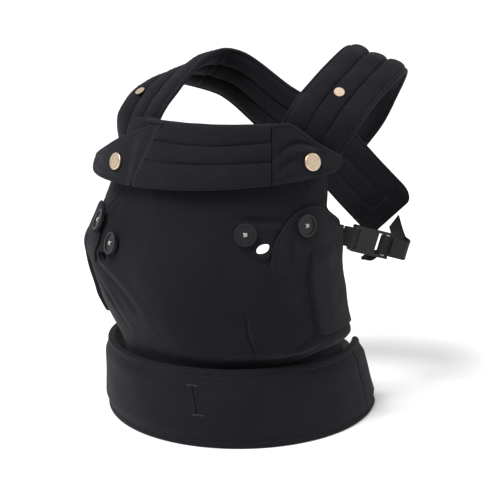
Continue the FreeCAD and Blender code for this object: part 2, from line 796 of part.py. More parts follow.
# ---- press studs on the panel and the straps ---------------------------------------------------------
def make_studs():
    panel_studs = []
    for side in (-1, 1):
        place = cap_place(side)
        top = -headrest_wing_thickness / 2 - 3 * gap - socket_depth + stud_height
        panel_studs.append(placed(Part.makeCylinder(stud_radius, 3.0, Vector(0, 0, top - 3.0)), place))
    strap_studs = []
    washers = []
    for side in (-1, 1):
        rows = strap_stations(side)
        u, across = strap_stud_spots[side]
        here = strap_point(rows, u, across, 0)
        outward = (strap_point(rows, u, across, 5) - here).normalize()
        half = strap_thickness / 2
        base = disc(here, outward, strap_stud_diameter / 2, 1.2, half + gap)
        pin = disc(here, outward, strap_stud_pin, 3.4, half + gap)
        strap_studs.append(base.fuse(pin))
        washers.append(disc(here, outward * -1, strap_stud_diameter / 2, 1.0, half + gap))
    return {
        "panel_studs": group(panel_studs),
        "strap_studs": group(strap_studs),
        "strap_stud_washers": group(washers),
    }


# ---- the whole carrier -------------------------------------------------------------------------------
def make_carrier():
    nodes = {}
    nodes.update(make_belt())
    nodes.update(make_panel())
    nodes.update(make_buttons())
    nodes.update(make_headrest())
    for side, name in ((-1, "left"), (1, "right")):
        nodes.update(make_side(side, name))
        nodes.update(make_wing(side, name))
        nodes.update(make_strap(side, name))
    nodes.update(make_sides())
    nodes.update(make_waist())
    nodes.update(make_studs())
    return nodes


def main():
    os.makedirs("parts", exist_ok=True)
    to_origin = Vector(0, waist_radius, 0)
    for name, shape in make_carrier().items():
        shape.translate(to_origin)
        shape.exportStep("parts/%s.step" % name)
        box = shape.BoundBox
        print("%-28s solids %d valid %s volume %9.0f  box %6.0f %6.0f %6.0f  %6.0f %6.0f %6.0f"
              % (name, len(shape.Solids), shape.isValid(), shape.Volume,
                 box.XMin, box.YMin, box.ZMin, box.XMax, box.YMax, box.ZMax))


main()
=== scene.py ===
import math

import bpy
import numpy as np
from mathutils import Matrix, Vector


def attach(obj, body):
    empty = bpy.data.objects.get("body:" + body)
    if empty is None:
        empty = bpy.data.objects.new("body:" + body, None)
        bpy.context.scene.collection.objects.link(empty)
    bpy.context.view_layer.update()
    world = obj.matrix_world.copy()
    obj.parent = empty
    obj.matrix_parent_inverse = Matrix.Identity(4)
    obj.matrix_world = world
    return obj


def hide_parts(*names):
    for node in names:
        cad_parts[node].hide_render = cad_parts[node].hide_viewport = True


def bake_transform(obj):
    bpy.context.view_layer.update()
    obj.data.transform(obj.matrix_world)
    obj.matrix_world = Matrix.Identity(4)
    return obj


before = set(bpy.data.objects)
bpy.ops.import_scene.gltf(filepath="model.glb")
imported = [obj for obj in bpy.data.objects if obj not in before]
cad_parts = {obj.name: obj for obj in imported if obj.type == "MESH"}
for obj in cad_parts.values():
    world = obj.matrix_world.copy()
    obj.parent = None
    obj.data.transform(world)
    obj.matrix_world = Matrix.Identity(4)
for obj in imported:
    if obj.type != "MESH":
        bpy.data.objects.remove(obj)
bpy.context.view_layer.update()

# Lengths below are millimetres and angles degrees, in the same frame and with the same names as the part;
# to_scene() turns a point into the scene's metres.

# ---- sizes that the part's surfaces follow
waist_radius = 182.0
waist_squeeze = 0.965
belt_flare = 13.0
belt_lean = 13.0
belt_height = 97.0
belt_end_drop = 8.0
belt_half_angle = 105.0
belt_half = 8.0             # half the belt's thickness
panel_tuck = 37.0           # how far the panel reaches down behind the belt
base_forward = 16.0         # centre of the panel's round section at the belt, ahead of the waist's axis
base_clearance = 2.0
body_height = 400.0
panel_half = 3.0            # half the panel's thickness
panel_side = 92.0           # angle of the panel's side edges
corner_angle = 46.0
corner_drop = 72.0
strap_seam_angle = 28.0
strap_inset = 3.0
leg_opening_top = 262.0     # height where the panel's sides start to draw in
leg_opening_blend = 34.0
leg_opening_share = 0.4     # how much of the side's angle past the corner is taken away
headrest_drop = 77.0
headrest_slant = 7.0        # how much shorter the headrest is at its right side
headrest_rise = 3.0         # of the fold over the panel's top edge
headrest_half = 6.5
headrest_clearance = 2.0
headrest_standoff = 4.0
headrest_side = {-1: 36.0, 1: 40.0}
wing_angle = {-1: 42.0, 1: 33.0}
wing_flare = {-1: 16.0, 1: 9.0}
strap_width = 84.0
strap_half = 7.5
strap_root = {-1: -20.0, 1: 2.0}     # where each strap starts, past the panel's edge
side_web = 25.0
waist_web = 38.0
web_thickness = 1.6
panel_radius = 150.0        # used where an angle is turned into a length along the cloth
degree = math.pi / 180


# ---- numbers -----------------------------------------------------------------------------------------
def mix(low, high, share):
    return low + (high - low) * share


def ease(x):
    """Smooth step from 0 at x = 0 to 1 at x = 1."""
    t = np.clip(x, 0.0, 1.0)
    return t * t * (3 - 2 * t)


def smooth(rows, x):
    """Values at x from rows of (x, value, ...), along a cubic through every row; the last axis is values."""
    rows = np.asarray(rows, float)
    x = np.clip(np.asarray(x, float), rows[0, 0], rows[-1, 0])
    last = len(rows) - 1
    i = np.clip(np.searchsorted(rows[:, 0], x, side="right") - 1, 0, last - 1)
    before, low = rows[np.maximum(i - 1, 0)], rows[i]
    high, after = rows[i + 1], rows[np.minimum(i + 2, last)]
    span = high[..., :1] - low[..., :1]
    t = (x[..., None] - low[..., :1]) / span
    low_slope = (high[..., 1:] - before[..., 1:]) / (high[..., :1] - before[..., :1]) * span
    high_slope = (after[..., 1:] - low[..., 1:]) / (after[..., :1] - low[..., :1]) * span
    return ((2 * t ** 3 - 3 * t ** 2 + 1) * low[..., 1:] + (t ** 3 - 2 * t ** 2 + t) * low_slope
            + (3 * t ** 2 - 2 * t ** 3) * high[..., 1:] + (t ** 3 - t ** 2) * high_slope)


def single(rows, x):
    return smooth(rows, x)[..., 0]


def point3(x, y, z):
    return np.stack(np.broadcast_arrays(x, y, z), -1)


def unit(v):
    return v / np.linalg.norm(v, axis=-1, keepdims=True)


def to_scene(points):
    return (np.asarray(points, float) + [0, waist_radius, 0]) / 1000


# ---- the part's surfaces -----------------------------------------------------------------------------
def belt_point(angle, share, offset):
    a = angle * degree
    radius = waist_radius - belt_flare * share + offset
    top = belt_height - belt_end_drop * (angle / belt_half_angle) ** 2
    return point3(radius * waist_squeeze * np.sin(a) - belt_lean * share, -radius * np.cos(a), top * share)


def belt_row(z):
    share = z / belt_height
    inside = waist_radius - belt_flare * share - belt_half - base_clearance - panel_half
    return (z, inside - base_forward, -belt_lean * share, -base_forward)


# Level sections of the panel: height, radius, centre x, centre y.
panel_rows = [belt_row(z) for z in (belt_height - panel_tuck, belt_height - panel_tuck / 3, belt_height + 4)]
panel_rows += [(117, 145, -5, -24), (138, 147, -6, -31), (165, 149, -8, -40), (230, 150, -12, -45),
               (310, 141, 0, -32), (400, 132, 0, -20)]
# How far the panel stands out at the leg openings: height, left, right.
bulge_rows = [(60, 0, 10), (97, 0, 14), (115, 5, 14), (140, 10, 11), (165, 13, 9), (230, 19, 5), (290, 15, 2),
              (350, 11, 2), (400, 3, 0)]
foot_rows = [(-92, 75), (-75, 62), (-55, 36), (-40, 12), (-28, 0), (45, 0), (60, 4), (92, 6)]
top_rows = [(36, 0), (46, 0.05), (60, 0.52), (74, 1), (92, 1.15)]


def panel_point(angle, z, offset):
    section = smooth(panel_rows, z)
    bulge = smooth(bulge_rows, z)
    out = np.where(angle < 0, bulge[..., 0], bulge[..., 1]) * ease((np.abs(angle) - 25) / 50)
    radius = section[..., 0] + out + offset
    a = angle * degree
    return point3(section[..., 1] + radius * np.sin(a), section[..., 2] - radius * np.cos(a), z)


def panel_foot(angle):
    return belt_height - panel_tuck + single(foot_rows, angle)


def panel_top(angle):
    return body_height - corner_drop * single(top_rows, np.abs(angle))


def headrest_point(angle, share, offset):
    base = panel_half + headrest_clearance + headrest_half + headrest_standoff * share
    drop = headrest_drop - headrest_slant * angle / headrest_side[1]
    return panel_point(angle, body_height + headrest_rise - drop * share, base + offset)


wing_upper = {-1: [(0, .215), (.24, .33), (.6, .55), (.88, .69), (1, .75)],
              1: [(0, 0), (.2, .02), (.6, .38), (.88, .60), (1, .70)]}
wing_lower = {-1: [(0, 1), (.6, .945), (.88, .89), (1, .815)],
              1: [(0, 1), (.5, .98), (.88, .95), (1, .86)]}


def wing_point(side, u, v, offset):
    share = mix(single(wing_upper[side], u), single(wing_lower[side], u), v)
    angle = side * mix(headrest_side[side] + 0.6, headrest_side[side] + wing_angle[side], u)
    return headrest_point(angle, share, offset + wing_flare[side] * u)


routes = {
    -1: [((-111, -78, 391), (78, -18, 30)), ((-107, -57, 409), (82, -14, 22)),
         ((-101, -26, 426), (82, -8, 25)), ((-91, 20, 438), (73, -20, 37)),
         ((-70, 61, 437), (63, -19, 54)), ((-40, 82, 425), (54, -27, 59)),
         ((18, 84, 383), (63, -20, 49)), ((84, 77, 344), (62, -6, 54)),
         ((144, 71, 290), (60, -2, 55)), ((184, 76, 250), (58, 0, 56))],
    1: [((127, -82, 391), (58, 30, -42)), ((139, -65, 414), (78, 10, -30)),
        ((155, -25, 442), (80, 4, -30)), ((168, 34, 463), (80, 1, -28)),
        ((150, 90, 436), (75, -18, -28)), ((124, 120, 388), (70, -22, -20)),
        ((88, 124, 336), (71, -22, -1)), ((50, 110, 278), (66, -36, -5)),
        ((14, 84, 229), (62, -45, -10))],
}


def ribbon_rows(middles, widths):
    middles = np.asarray(middles, float)
    steps = np.linalg.norm(np.diff(middles, axis=0), axis=1)
    distance = np.concatenate([[0.0], np.cumsum(steps)])
    return np.column_stack([distance, middles, unit(np.asarray(widths, float))])


def strap_rows(side):
    neck = panel_point(side * corner_angle, body_height, -strap_inset)
    angle = corner_angle + strap_seam_angle
    shoulder = panel_point(side * angle, panel_top(angle), -strap_inset)
    across = neck - shoulder if side < 0 else shoulder - neck
    seam = (neck + shoulder) / 2
    first = np.array(routes[side][0][0], float)
    start = seam + unit(first - seam) * strap_root[side]
    middles = [start] + [middle for middle, _ in routes[side]]
    widths = [across] + [width for _, width in routes[side]]
    return ribbon_rows(middles, widths)


def ribbon_point(rows, u, across, offset):
    length = rows[-1, 0]
    here = smooth(rows, u * length)
    ahead = smooth(rows, np.minimum(u * length + 1, length))
    behind = smooth(rows, np.maximum(u * length - 1, 0))
    along = ahead[..., :3] - behind[..., :3]
    outward = unit(np.cross(along, unit(here[..., 3:])))
    width = unit(np.cross(outward, along))
    across, offset = np.broadcast_arrays(across, offset)
    return here[..., :3] + width * across[..., None] + outward * offset[..., None]


strap_fullness = [(0, .38), (.06, .6), (.14, 1), (.9, 1), (.955, .62), (1, .5)]


def strap_point(rows, u, across, offset):
    return ribbon_point(rows, u, across, offset * single(strap_fullness, u))


# ---- shapes of sewn cloth ----------------------------------------------------------------------------
def rim(distance, radius):
    """Height of a rounded edge, from 0 at the edge to 1 a radius away from it."""
    t = np.clip(distance / radius, 0, 1)
    return np.sqrt(np.maximum(1 - (1 - t) ** 2, 0))


def groove(distance, width):
    return np.exp(-(distance / width) ** 2)


def ripple(s, t, wavelength, seed, waves=9):
    """Soft random waves, about 1 high, over cloth coordinates in millimetres."""
    rng = np.random.default_rng(seed)
    total = 0
    for _ in range(waves):
        turn, phase, stretch = rng.uniform(0, np.pi), rng.uniform(0, 2 * np.pi), rng.uniform(0.7, 1.7)
        total = total + np.sin((s * np.cos(turn) + t * np.sin(turn)) * 2 * np.pi / (wavelength * stretch)
                               + phase)
    return total / math.sqrt(waves / 2) / 1.6


def pucker(s, distance, seed, pitch=8.0, reach=6.0):
    """Short wrinkles that stand across a seam and fade away from it."""
    wander = 2.4 * ripple(s, 0 * s, 60, seed)
    return np.sin(s * 2 * np.pi / pitch + wander) * np.exp(-np.abs(distance) / reach)


def crease(x, y, points, depth, width, ridge=0.6):
    """A fold along a line of points: a furrow with a soft ridge on its left side."""
    points = np.asarray(points, float)
    steps = np.linalg.norm(np.diff(points, axis=0), axis=1)
    total = steps.sum()
    best = np.full(np.shape(x), np.inf)
    signed = np.zeros(np.shape(x))
    along = np.zeros(np.shape(x))
    done = 0.0
    for (ax, ay), (bx, by), step in zip(points[:-1], points[1:], steps):
        dx, dy = (bx - ax) / step, (by - ay) / step
        t = np.clip((x - ax) * dx + (y - ay) * dy, 0, step)
        away_x, away_y = x - ax - dx * t, y - ay - dy * t
        distance = np.hypot(away_x, away_y)
        near = distance < best
        best = np.where(near, distance, best)
        signed = np.where(near, np.sign(dx * away_y - dy * away_x) * distance, signed)
        along = np.where(near, (done + t) / total, along)
        done += step
    fade = np.sin(np.pi * np.clip(along, 0.02, 0.98)) ** 0.6
    return depth * fade * (ridge * groove(signed - 2.2 * width, 1.6 * width) - groove(signed, width))


def samples(length, step, marks=(), near=(0.5, 1.1, 2.0, 3.4)):
    """Shares of a length, evenly spaced and closer together by its two ends and by each mark."""
    values = list(np.linspace(0, length, max(int(length / step), 2) + 1))
    for mark in [0, length] + list(marks):
        values.append(mark)
        for distance in near:
            values += [mark - distance, mark + distance]
    values = np.sort(np.clip(values, 0, length))
    kept = [values[0]]
    for value in values[1:]:
        if value - kept[-1] > 0.35:
            kept.append(value)
    kept[-1] = length
    return np.array(kept) / length


# ---- meshes ------------------------------------------------------------------------------------------
def new_object(name, points, faces, smooth=True):
    mesh = bpy.data.meshes.new(name)
    mesh.from_pydata(points.tolist(), [], faces)
    mesh.polygons.foreach_set("use_smooth", [smooth] * len(mesh.polygons))
    obj = bpy.data.objects.new(name, mesh)
    bpy.context.scene.collection.objects.link(obj)
    return obj


def make_mesh(name, points, faces, cloth):
    """A piece of cloth; its materials read the cloth coordinates."""
    obj = new_object(name, points, faces.tolist())
    layer = obj.data.attributes.new("cloth", "FLOAT_VECTOR", "POINT")
    layer.data.foreach_set("vector", cloth.astype(np.float32).ravel())
    return obj


def shell(name, point, us, vs, front, back, size):
    """Closed piece of cloth between two heights over point(u, v, offset); size is its flat size."""
    u, v = np.meshgrid(us, vs, indexing="ij")
    nu, nv = u.shape
    outer, inner = point(u, v, front(u, v)), point(u, v, back(u, v))
    points = to_scene(np.concatenate([outer.reshape(-1, 3), inner.reshape(-1, 3)]))
    index = np.arange(nu * nv).reshape(nu, nv)
    quads = np.stack([index[:-1, :-1], index[1:, :-1], index[1:, 1:], index[:-1, 1:]], -1).reshape(-1, 4)
    loop = np.concatenate([index[:-1, 0], index[-1, :-1], index[:0:-1, -1], index[0, :0:-1]])
    ahead = np.roll(loop, -1)
    behind = nu * nv
    sides = np.stack([ahead, loop, loop + behind, ahead + behind], -1)
    faces = np.concatenate([quads, quads[:, ::-1] + behind, sides])
    a, b, c = points[faces[:, 0]], points[faces[:, 1]], points[faces[:, 2]]
    d = points[faces[:, 3]]
    if (np.einsum("ij,ij->i", a, np.cross(b, c)) + np.einsum("ij,ij->i", a, np.cross(c, d))).sum() < 0:
        faces = faces[:, ::-1]
    flat = np.stack([u * size[0], v * size[1], 0 * u], -1).reshape(-1, 3) / 1000
    return make_mesh(name, points, faces, np.concatenate([flat, flat + [0.013, 0.007, 0.02]]))


def tube(name, lines, radius, sides=6):
    """Threads: each line of points becomes a rounded tube with closed ends."""
    points, faces, start = [], [], 0
    turn = np.arange(sides) * 2 * np.pi / sides
    for line in lines:
        line = np.asarray(line, float)
        along = unit(np.gradient(line, axis=0))
        helper = np.where(np.abs(along[:, 2:]) > 0.8, [[1.0, 0, 0]], [[0, 0, 1.0]])
        a = unit(np.cross(along, helper))
        b = np.cross(along, a)
        count = len(line)
        thick = np.full(count, radius)
        thick[0] = thick[-1] = radius * 0.45
        ring = (line[:, None] + a[:, None] * (np.cos(turn)[None, :, None] * thick[:, None, None])
                + b[:, None] * (np.sin(turn)[None, :, None] * thick[:, None, None]))
        points.append(ring.reshape(-1, 3))
        index = start + np.arange(count * sides).reshape(count, sides)
        for i in range(count - 1):
            for k in range(sides):
                n = (k + 1) % sides
                faces.append([int(index[i, k]), int(index[i, n]), int(index[i + 1, n]), int(index[i + 1, k])])
        faces.append(index[0, ::-1].tolist())
        faces.append(index[-1].tolist())
        start += count * sides
    return new_object(name, to_scene(np.concatenate(points)), faces)


def stitch_lines(surface, rows, pitch=4.2, fill=0.68, lift=0.25):
    """Running stitches along rows of (u, v) on surface(u, v), each a short length of thread along the
    surface.
    """
    lines = []
    for row in rows:
        row = np.asarray(row, float)
        path = surface(row[:, 0], row[:, 1])
        distance = np.concatenate([[0], np.cumsum(np.linalg.norm(np.diff(path, axis=0), axis=1))])
        for k in range(int(distance[-1] / pitch)):
            at = np.linspace(k * pitch, (k + fill) * pitch, 4)
            line = np.stack([np.interp(at, distance, path[:, i]) for i in range(3)], -1)
            lines.append(line)
    return lines


# ---- materials ---------------------------------------------------------------------------------------
class Nodes:
    """Small helper for building a material's nodes."""

    def __init__(self, name):
        self.material = bpy.data.materials.new(name)
        self.material.use_nodes = True
        self.tree = self.material.node_tree
        self.shader = self.tree.nodes["Principled BSDF"]

    def add(self, kind, inputs=(), **settings):
        node = self.tree.nodes.new(kind)
        for key, value in settings.items():
            setattr(node, key, value)
        for key, value in dict(inputs).items():
            self.put(node.inputs[key], value)
        return node

    def put(self, socket, value):
        if isinstance(value, bpy.types.NodeSocket):
            self.tree.links.new(value, socket)
        else:
            socket.default_value = value

    def maths(self, operation, a, b=0.0):
        return self.add("ShaderNodeMath", {0: a, 1: b}, operation=operation).outputs[0]

    def noise(self, vector, scale, detail=2.0):
        node = self.add("ShaderNodeTexNoise", {"Vector": vector, "Scale": scale, "Detail": detail})
        return node.outputs["Fac"]

    def stretched(self, vector, scale):
        return self.add("ShaderNodeVectorMath", {0: vector, 1: scale}, operation="MULTIPLY").outputs[0]

    def ramp(self, value, low, high, start, end):
        node = self.add("ShaderNodeMapRange", {0: value, 1: start, 2: end, 3: low, 4: high})
        return node.outputs[0]

    def blend(self, share, low, high):
        node = self.add("ShaderNodeMix", {0: share, 6: low, 7: high}, data_type="RGBA")
        return node.outputs[2]

    def bump(self, height, strength, distance, normal=None):
        inputs = {"Height": height, "Strength": strength, "Distance": distance}
        if normal is not None:
            inputs["Normal"] = normal
        return self.add("ShaderNodeBump", inputs).outputs[0]

    def finish(self, **sockets):
        for name, value in sockets.items():
            self.put(self.shader.inputs[name.replace("_", " ")], value)
        return self.material


def rgb(red, green, blue):
    return (red, green, blue, 1.0)


def woven(name, dark, light, pitch, slub, roughness, sheen, depth=0.0004):
    """Plain weave of two shades of yarn, over the piece's own cloth coordinates."""
    n = Nodes(name)
    cloth = n.add("ShaderNodeAttribute", attribute_name="cloth").outputs["Vector"]
    parts = n.add("ShaderNodeSeparateXYZ", {0: cloth})
    wave = 2 * math.pi / pitch
    warp = n.maths("SINE", n.maths("MULTIPLY", parts.outputs[0], wave))
    weft = n.maths("SINE", n.maths("MULTIPLY", parts.outputs[1], wave))
    weave = n.maths("MULTIPLY", warp, weft)
    across = n.noise(n.stretched(cloth, (slub * 0.16, slub, slub)), 1.0)
    upward = n.noise(n.stretched(cloth, (slub, slub * 0.16, slub)), 1.0)
    yarn = n.maths("MAXIMUM", n.ramp(across, 0.0, 1.0, 0.46, 0.72), n.ramp(upward, 0.0, 1.0, 0.48, 0.74))
    coords = n.add("ShaderNodeTexCoord").outputs["Object"]
    broad = n.noise(coords, 9.0, 3.0)
    share = n.maths("ADD", n.maths("MULTIPLY", yarn, 0.75), n.ramp(broad, -0.06, 0.30, 0.3, 0.7))
    share = n.maths("ADD", share, n.maths("MULTIPLY", weave, 0.10))
    height = n.maths("ADD", n.maths("MULTIPLY", weave, 0.6), n.maths("MULTIPLY", yarn, 0.8))
    return n.finish(Base_Color=n.blend(share, dark, light), Roughness=roughness,
                    Normal=n.bump(height, 0.5, depth), Sheen_Weight=sheen, Sheen_Roughness=0.45,
                    Sheen_Tint=rgb(0.85, 0.85, 0.95), Specular_IOR_Level=0.16)


def webbing_material():
    """Ribbed polyester tape with a selvage."""
    n = Nodes("webbing_weave")
    cloth = n.add("ShaderNodeAttribute", attribute_name="cloth").outputs["Vector"]
    parts = n.add("ShaderNodeSeparateXYZ", {0: cloth})
    ribs = n.maths("SINE", n.maths("MULTIPLY", parts.outputs[0], 2 * math.pi / 0.0016))
    lines = n.maths("SINE", n.maths("MULTIPLY", parts.outputs[1], 2 * math.pi / 0.0024))
    twill = n.maths("ADD", n.maths("MULTIPLY", ribs, 0.6), n.maths("MULTIPLY", lines, 0.4))
    fuzz = n.noise(n.stretched(cloth, (900.0, 900.0, 900.0)), 1.0)
    share = n.maths("ADD", n.ramp(twill, 0.15, 0.7, -1.0, 1.0), n.ramp(fuzz, -0.2, 0.3, 0.3, 0.7))
    colour = n.blend(share, rgb(0.002, 0.002, 0.002), rgb(0.008, 0.008, 0.0075))
    return n.finish(Base_Color=colour, Roughness=0.55, Normal=n.bump(twill, 0.7, 0.0004),
                    Sheen_Weight=0.05, Specular_IOR_Level=0.22)


def plastic(name, dark, light, roughness, grain):
    n = Nodes(name)
    coords = n.add("ShaderNodeTexCoord").outputs["Object"]
    fine = n.noise(coords, grain, 3.0)
    broad = n.noise(coords, 60.0, 2.0)
    colour = n.blend(n.ramp(broad, 0.0, 1.0, 0.3, 0.7), dark, light)
    rough = n.ramp(fine, roughness - 0.08, roughness + 0.12, 0.3, 0.7)
    return n.finish(Base_Color=colour, Roughness=rough, Specular_IOR_Level=0.26,
                    Normal=n.bump(fine, 0.25, 0.0002))


def gold():
    n = Nodes("champagne_metal")
    coords = n.add("ShaderNodeTexCoord").outputs["Object"]
    fine = n.noise(coords, 1400.0, 3.0)
    broad = n.noise(coords, 160.0, 2.0)
    colour = n.blend(n.ramp(broad, 0.0, 1.0, 0.3, 0.7), rgb(0.78, 0.58, 0.40), rgb(0.92, 0.76, 0.58))
    return n.finish(Base_Color=colour, Metallic=1.0, Roughness=n.ramp(fine, 0.24, 0.44, 0.3, 0.7),
                    Normal=n.bump(fine, 0.2, 0.0002))


def thread_material(name, dark, light):
    n = Nodes(name)
    coords = n.add("ShaderNodeTexCoord").outputs["Object"]
    strand = n.noise(coords, 2600.0, 2.0)
    colour = n.blend(n.ramp(strand, 0.0, 1.0, 0.35, 0.65), dark, light)
    return n.finish(Base_Color=colour, Roughness=0.6, Sheen_Weight=0.2,
                    Normal=n.bump(strand, 0.5, 0.0002))


canvas = woven("charcoal_canvas", rgb(0.0022, 0.0021, 0.0034), rgb(0.0112, 0.0106, 0.0155), 0.0011, 1500.0,
               0.88, 0.05)
lining = woven("charcoal_lining", rgb(0.0022, 0.0021, 0.0030), rgb(0.0090, 0.0086, 0.0115), 0.0008, 2200.0,
               0.82, 0.05)
tape = webbing_material()
buckle_plastic = plastic("buckle_plastic", rgb(0.005, 0.005, 0.005), rgb(0.009, 0.010, 0.009), 0.42, 900.0)
button_plastic = plastic("button_plastic", rgb(0.006, 0.0055, 0.007), rgb(0.010, 0.0095, 0.012), 0.40, 700.0)
metal = gold()
black_thread = thread_material("black_thread", rgb(0.001, 0.001, 0.0015), rgb(0.003, 0.003, 0.004))
white_thread = thread_material("white_thread", rgb(0.30, 0.29, 0.28), rgb(0.55, 0.54, 0.52))


def dress(obj, material, body="root", nodes=()):
    """Gives a piece its material, slot and body, and hides the plain nodes that it stands for."""
    obj.data.materials.clear()
    obj.data.materials.append(material)
    if body:
        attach(obj, body)
    if nodes:
        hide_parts(*nodes)
    return obj


# ---- camera ------------------------------------------------------------------------------------------
def look_from(azimuth, elevation, distance, target, lens):
    a, e = math.radians(azimuth), math.radians(elevation)
    away = Vector((math.sin(a) * math.cos(e), -math.cos(a) * math.cos(e), math.sin(e)))
    camera = bpy.data.objects.new("camera", bpy.data.cameras.new("camera"))
    camera.data.lens = lens
    camera.data.sensor_width = 36.0
    camera.location = Vector(target) + away * distance
    camera.rotation_euler = away.to_track_quat("Z", "Y").to_euler()
    bpy.context.scene.collection.objects.link(camera)
    bpy.context.scene.camera = camera


look_from(20.0, 15.0, 1.8, (0.046, 0.085, 0.235), 103.68)


# ---- waist belt --------------------------------------------------------------------------------------
belt_length = 2 * belt_half_angle * degree * (waist_radius - 6)
hem = 8.0                       # from a hemmed edge to its row of stitches
slit = ((3.3, 0.805), (4.7, 0.432))


def end_seam(share):
    """Angle of the slanting seam near each end of the belt."""
    return 88.2 - 2.1 * (1 - share) + 0.4 * np.sin(share * 17)


def belt_height_map(u, v):
    """Half of the belt's thickness over the sheet."""
    angle = mix(-belt_half_angle, belt_half_angle, u)
    s, t = u * belt_length, v * belt_height
    edge = np.minimum(t, belt_height - t)
    end = np.minimum(s, belt_length - s)
    seam = np.abs(np.abs(angle) - end_seam(v)) * degree * waist_radius
    fullness = ease((edge - hem - 0.5) / 12) * mix(0.85, 1.0, ease(seam / 8))
    half = 4.4 * rim(edge, 2.4) * rim(end, 2.4) + 3.4 * fullness
    half -= 1.1 * groove(edge - hem, 0.8) + 1.0 * groove(seam, 0.9) * ease(edge / 8)
    half += 0.16 * pucker(s, edge - hem, 3) * rim(edge, 3)
    half += 0.45 * ripple(s, t, 60, 5) * ease(edge / 20)
    return np.maximum(half, 0.4)


def belt_front(u, v):
    """The belt's outer face, with the lips and the mouth of its slit."""
    angle = mix(-belt_half_angle, belt_half_angle, u)
    along = (v - slit[1][1]) / (slit[0][1] - slit[1][1])
    across = (angle - mix(slit[1][0], slit[0][0], along)) * degree * waist_radius
    inside = ease(along * 12 + 0.5) * ease((1 - along) * 12 + 0.5)
    mouth = 0.7 * groove(np.abs(across) - 2.4, 1.5) - 2.2 * groove(across, 0.7)
    return belt_height_map(u, v) + inside * mouth


def belt_surface(u, v, offset):
    return belt_point(mix(-belt_half_angle, belt_half_angle, u), v, offset)


def make_belt():
    slit_place = (belt_half_angle + 4.0) / (2 * belt_half_angle) * belt_length
    marks = [slit_place + 0.8 * k for k in range(-8, 9)]
    marks += [belt_length * (0.5 + side * (84 + 0.7 * k) / (2 * belt_half_angle)) for side in (-1, 1)
              for k in range(10)]
    us = samples(belt_length, 3.0, marks, (0.5, 1.1))
    vs = samples(belt_height, 3.0, [hem, belt_height - hem])
    dress(shell("waist_belt", belt_surface, us, vs, belt_front, lambda u, v: -belt_height_map(u, v),
                (belt_length, belt_height)), canvas, nodes=["belt_cover", "belt_foam"])
    inset, rise = 5.0, belt_height - 10.0

    def inner(u, v):
        side, edge = inset / belt_length, inset / belt_height
        return mix(side, 1 - side, u), mix(edge, 1 - edge, v)

    def lining_surface(u, v, offset):
        return belt_surface(*inner(u, v), offset)

    def lining_height(u, v):
        s, t = u * belt_length, v * rise
        edge = np.minimum(np.minimum(t, rise - t), np.minimum(s, belt_length - s))
        return belt_height_map(*inner(u, v)) + 0.9 * rim(edge, 1.5)

    dress(shell("belt_inner_lining", lining_surface, samples(belt_length, 4.0), samples(rise, 4.0),
                lambda u, v: -lining_height(u, v) + 0.9, lambda u, v: -lining_height(u, v),
                (belt_length, belt_height)), lining, nodes=["belt_lining"])


def belt_stitching():
    def surface(u, v):
        return belt_surface(u, v, belt_front(u, v) + 0.35)

    across = np.linspace(0.004, 0.996, 400)
    low = hem / belt_height
    rows = [np.column_stack([across, np.full(400, low)]), np.column_stack([across, np.full(400, 1 - low)])]
    share = np.linspace(0.07, 0.93, 60)
    for side in (-1, 1):
        angle = side * (end_seam(share) + 1.2)
        rows.append(np.column_stack([0.5 + angle / (2 * belt_half_angle), share]))
    dress(tube("belt_stitches", stitch_lines(surface, rows), 0.28, 5), black_thread)
    lines = []
    for angle, share in slit:
        for k in range(-9, 10):
            here = angle + k * 0.27
            lift = 0.012 * (k % 2 * 2 - 1)
            ends = np.array([[here - 0.16, share - lift], [here, share], [here + 0.16, share + lift]])
            spots = belt_point(ends[:, 0], ends[:, 1], belt_front(
                0.5 + ends[:, 0] / (2 * belt_half_angle), ends[:, 1]) + 0.5)
            lines.append(spots)
    dress(tube("belt_slit_tacks", lines, 0.42, 5), black_thread)


# ---- seat panel --------------------------------------------------------------------------------------
panel_length = 2 * panel_side * degree * panel_radius
panel_rise = 300.0
slot_lip = 9.0                  # from a slot's middle to the raised cloth round it
slots = [(-45.5, 226.0), (39.0, 255.0)]
dart = [(30.5, 176.0), (29.9, 143.0), (31.6, 104.0)]
folds = [
    ([(49, 286), (41, 286.5), (35, 287.5), (26, 291), (21, 294)], 4.0, 3.2),
    ([(30, 251), (35.6, 243), (40, 240), (44, 244)], 2.6, 2.6),
    ([(70, 122), (60, 112), (49, 106), (40, 104)], 2.6, 3.4),
    ([(88, 100), (70, 103), (57, 96), (48, 94)], 4.2, 3.6),
    ([(62, 140), (52, 124), (42, 118)], 1.6, 4.0),
    ([(-49, 300), (-56, 287), (-60, 276)], 2.4, 3.2),
    ([(-60, 236), (-48, 210), (-36, 190), (-25, 165)], 2.0, 5.0),
    ([(-66, 220), (-56, 190), (-44, 160), (-38, 130)], 2.4, 4.5),
    ([(-40, 262), (-30, 258), (-18, 262)], 1.0, 4.0),
    ([(-20, 120), (0, 112), (22, 116)], 0.9, 5.0),
    ([(-30, 300), (-5, 296), (20, 300)], 0.9, 6.0),
]


def cloth_xy(angle, z):
    """Place on the panel's cloth, in millimetres."""
    return angle * degree * panel_radius, z


def panel_relief(angle, z):
    """Wrinkles, pull lines and the dart, as height over the panel's smooth surface."""
    x, y = cloth_xy(angle, z)
    height = 0.8 * ripple(x, y, 75, 11) + 0.22 * ripple(x, y, 22, 12)
    for line, depth, width in folds:
        spots = [cloth_xy(a, h) for a, h in line]
        height = height + crease(x, y, spots, depth, width)
    height = height + crease(x, y, [cloth_xy(a, h) for a, h in dart], 3.0, 1.5, 0.5)
    for a, h in slots:
        sx, sy = cloth_xy(a, h)
        away = np.hypot((x - sx) / 1.3, y - sy)
        height = height + 1.3 * groove(away - slot_lip, 3.0)
    return height


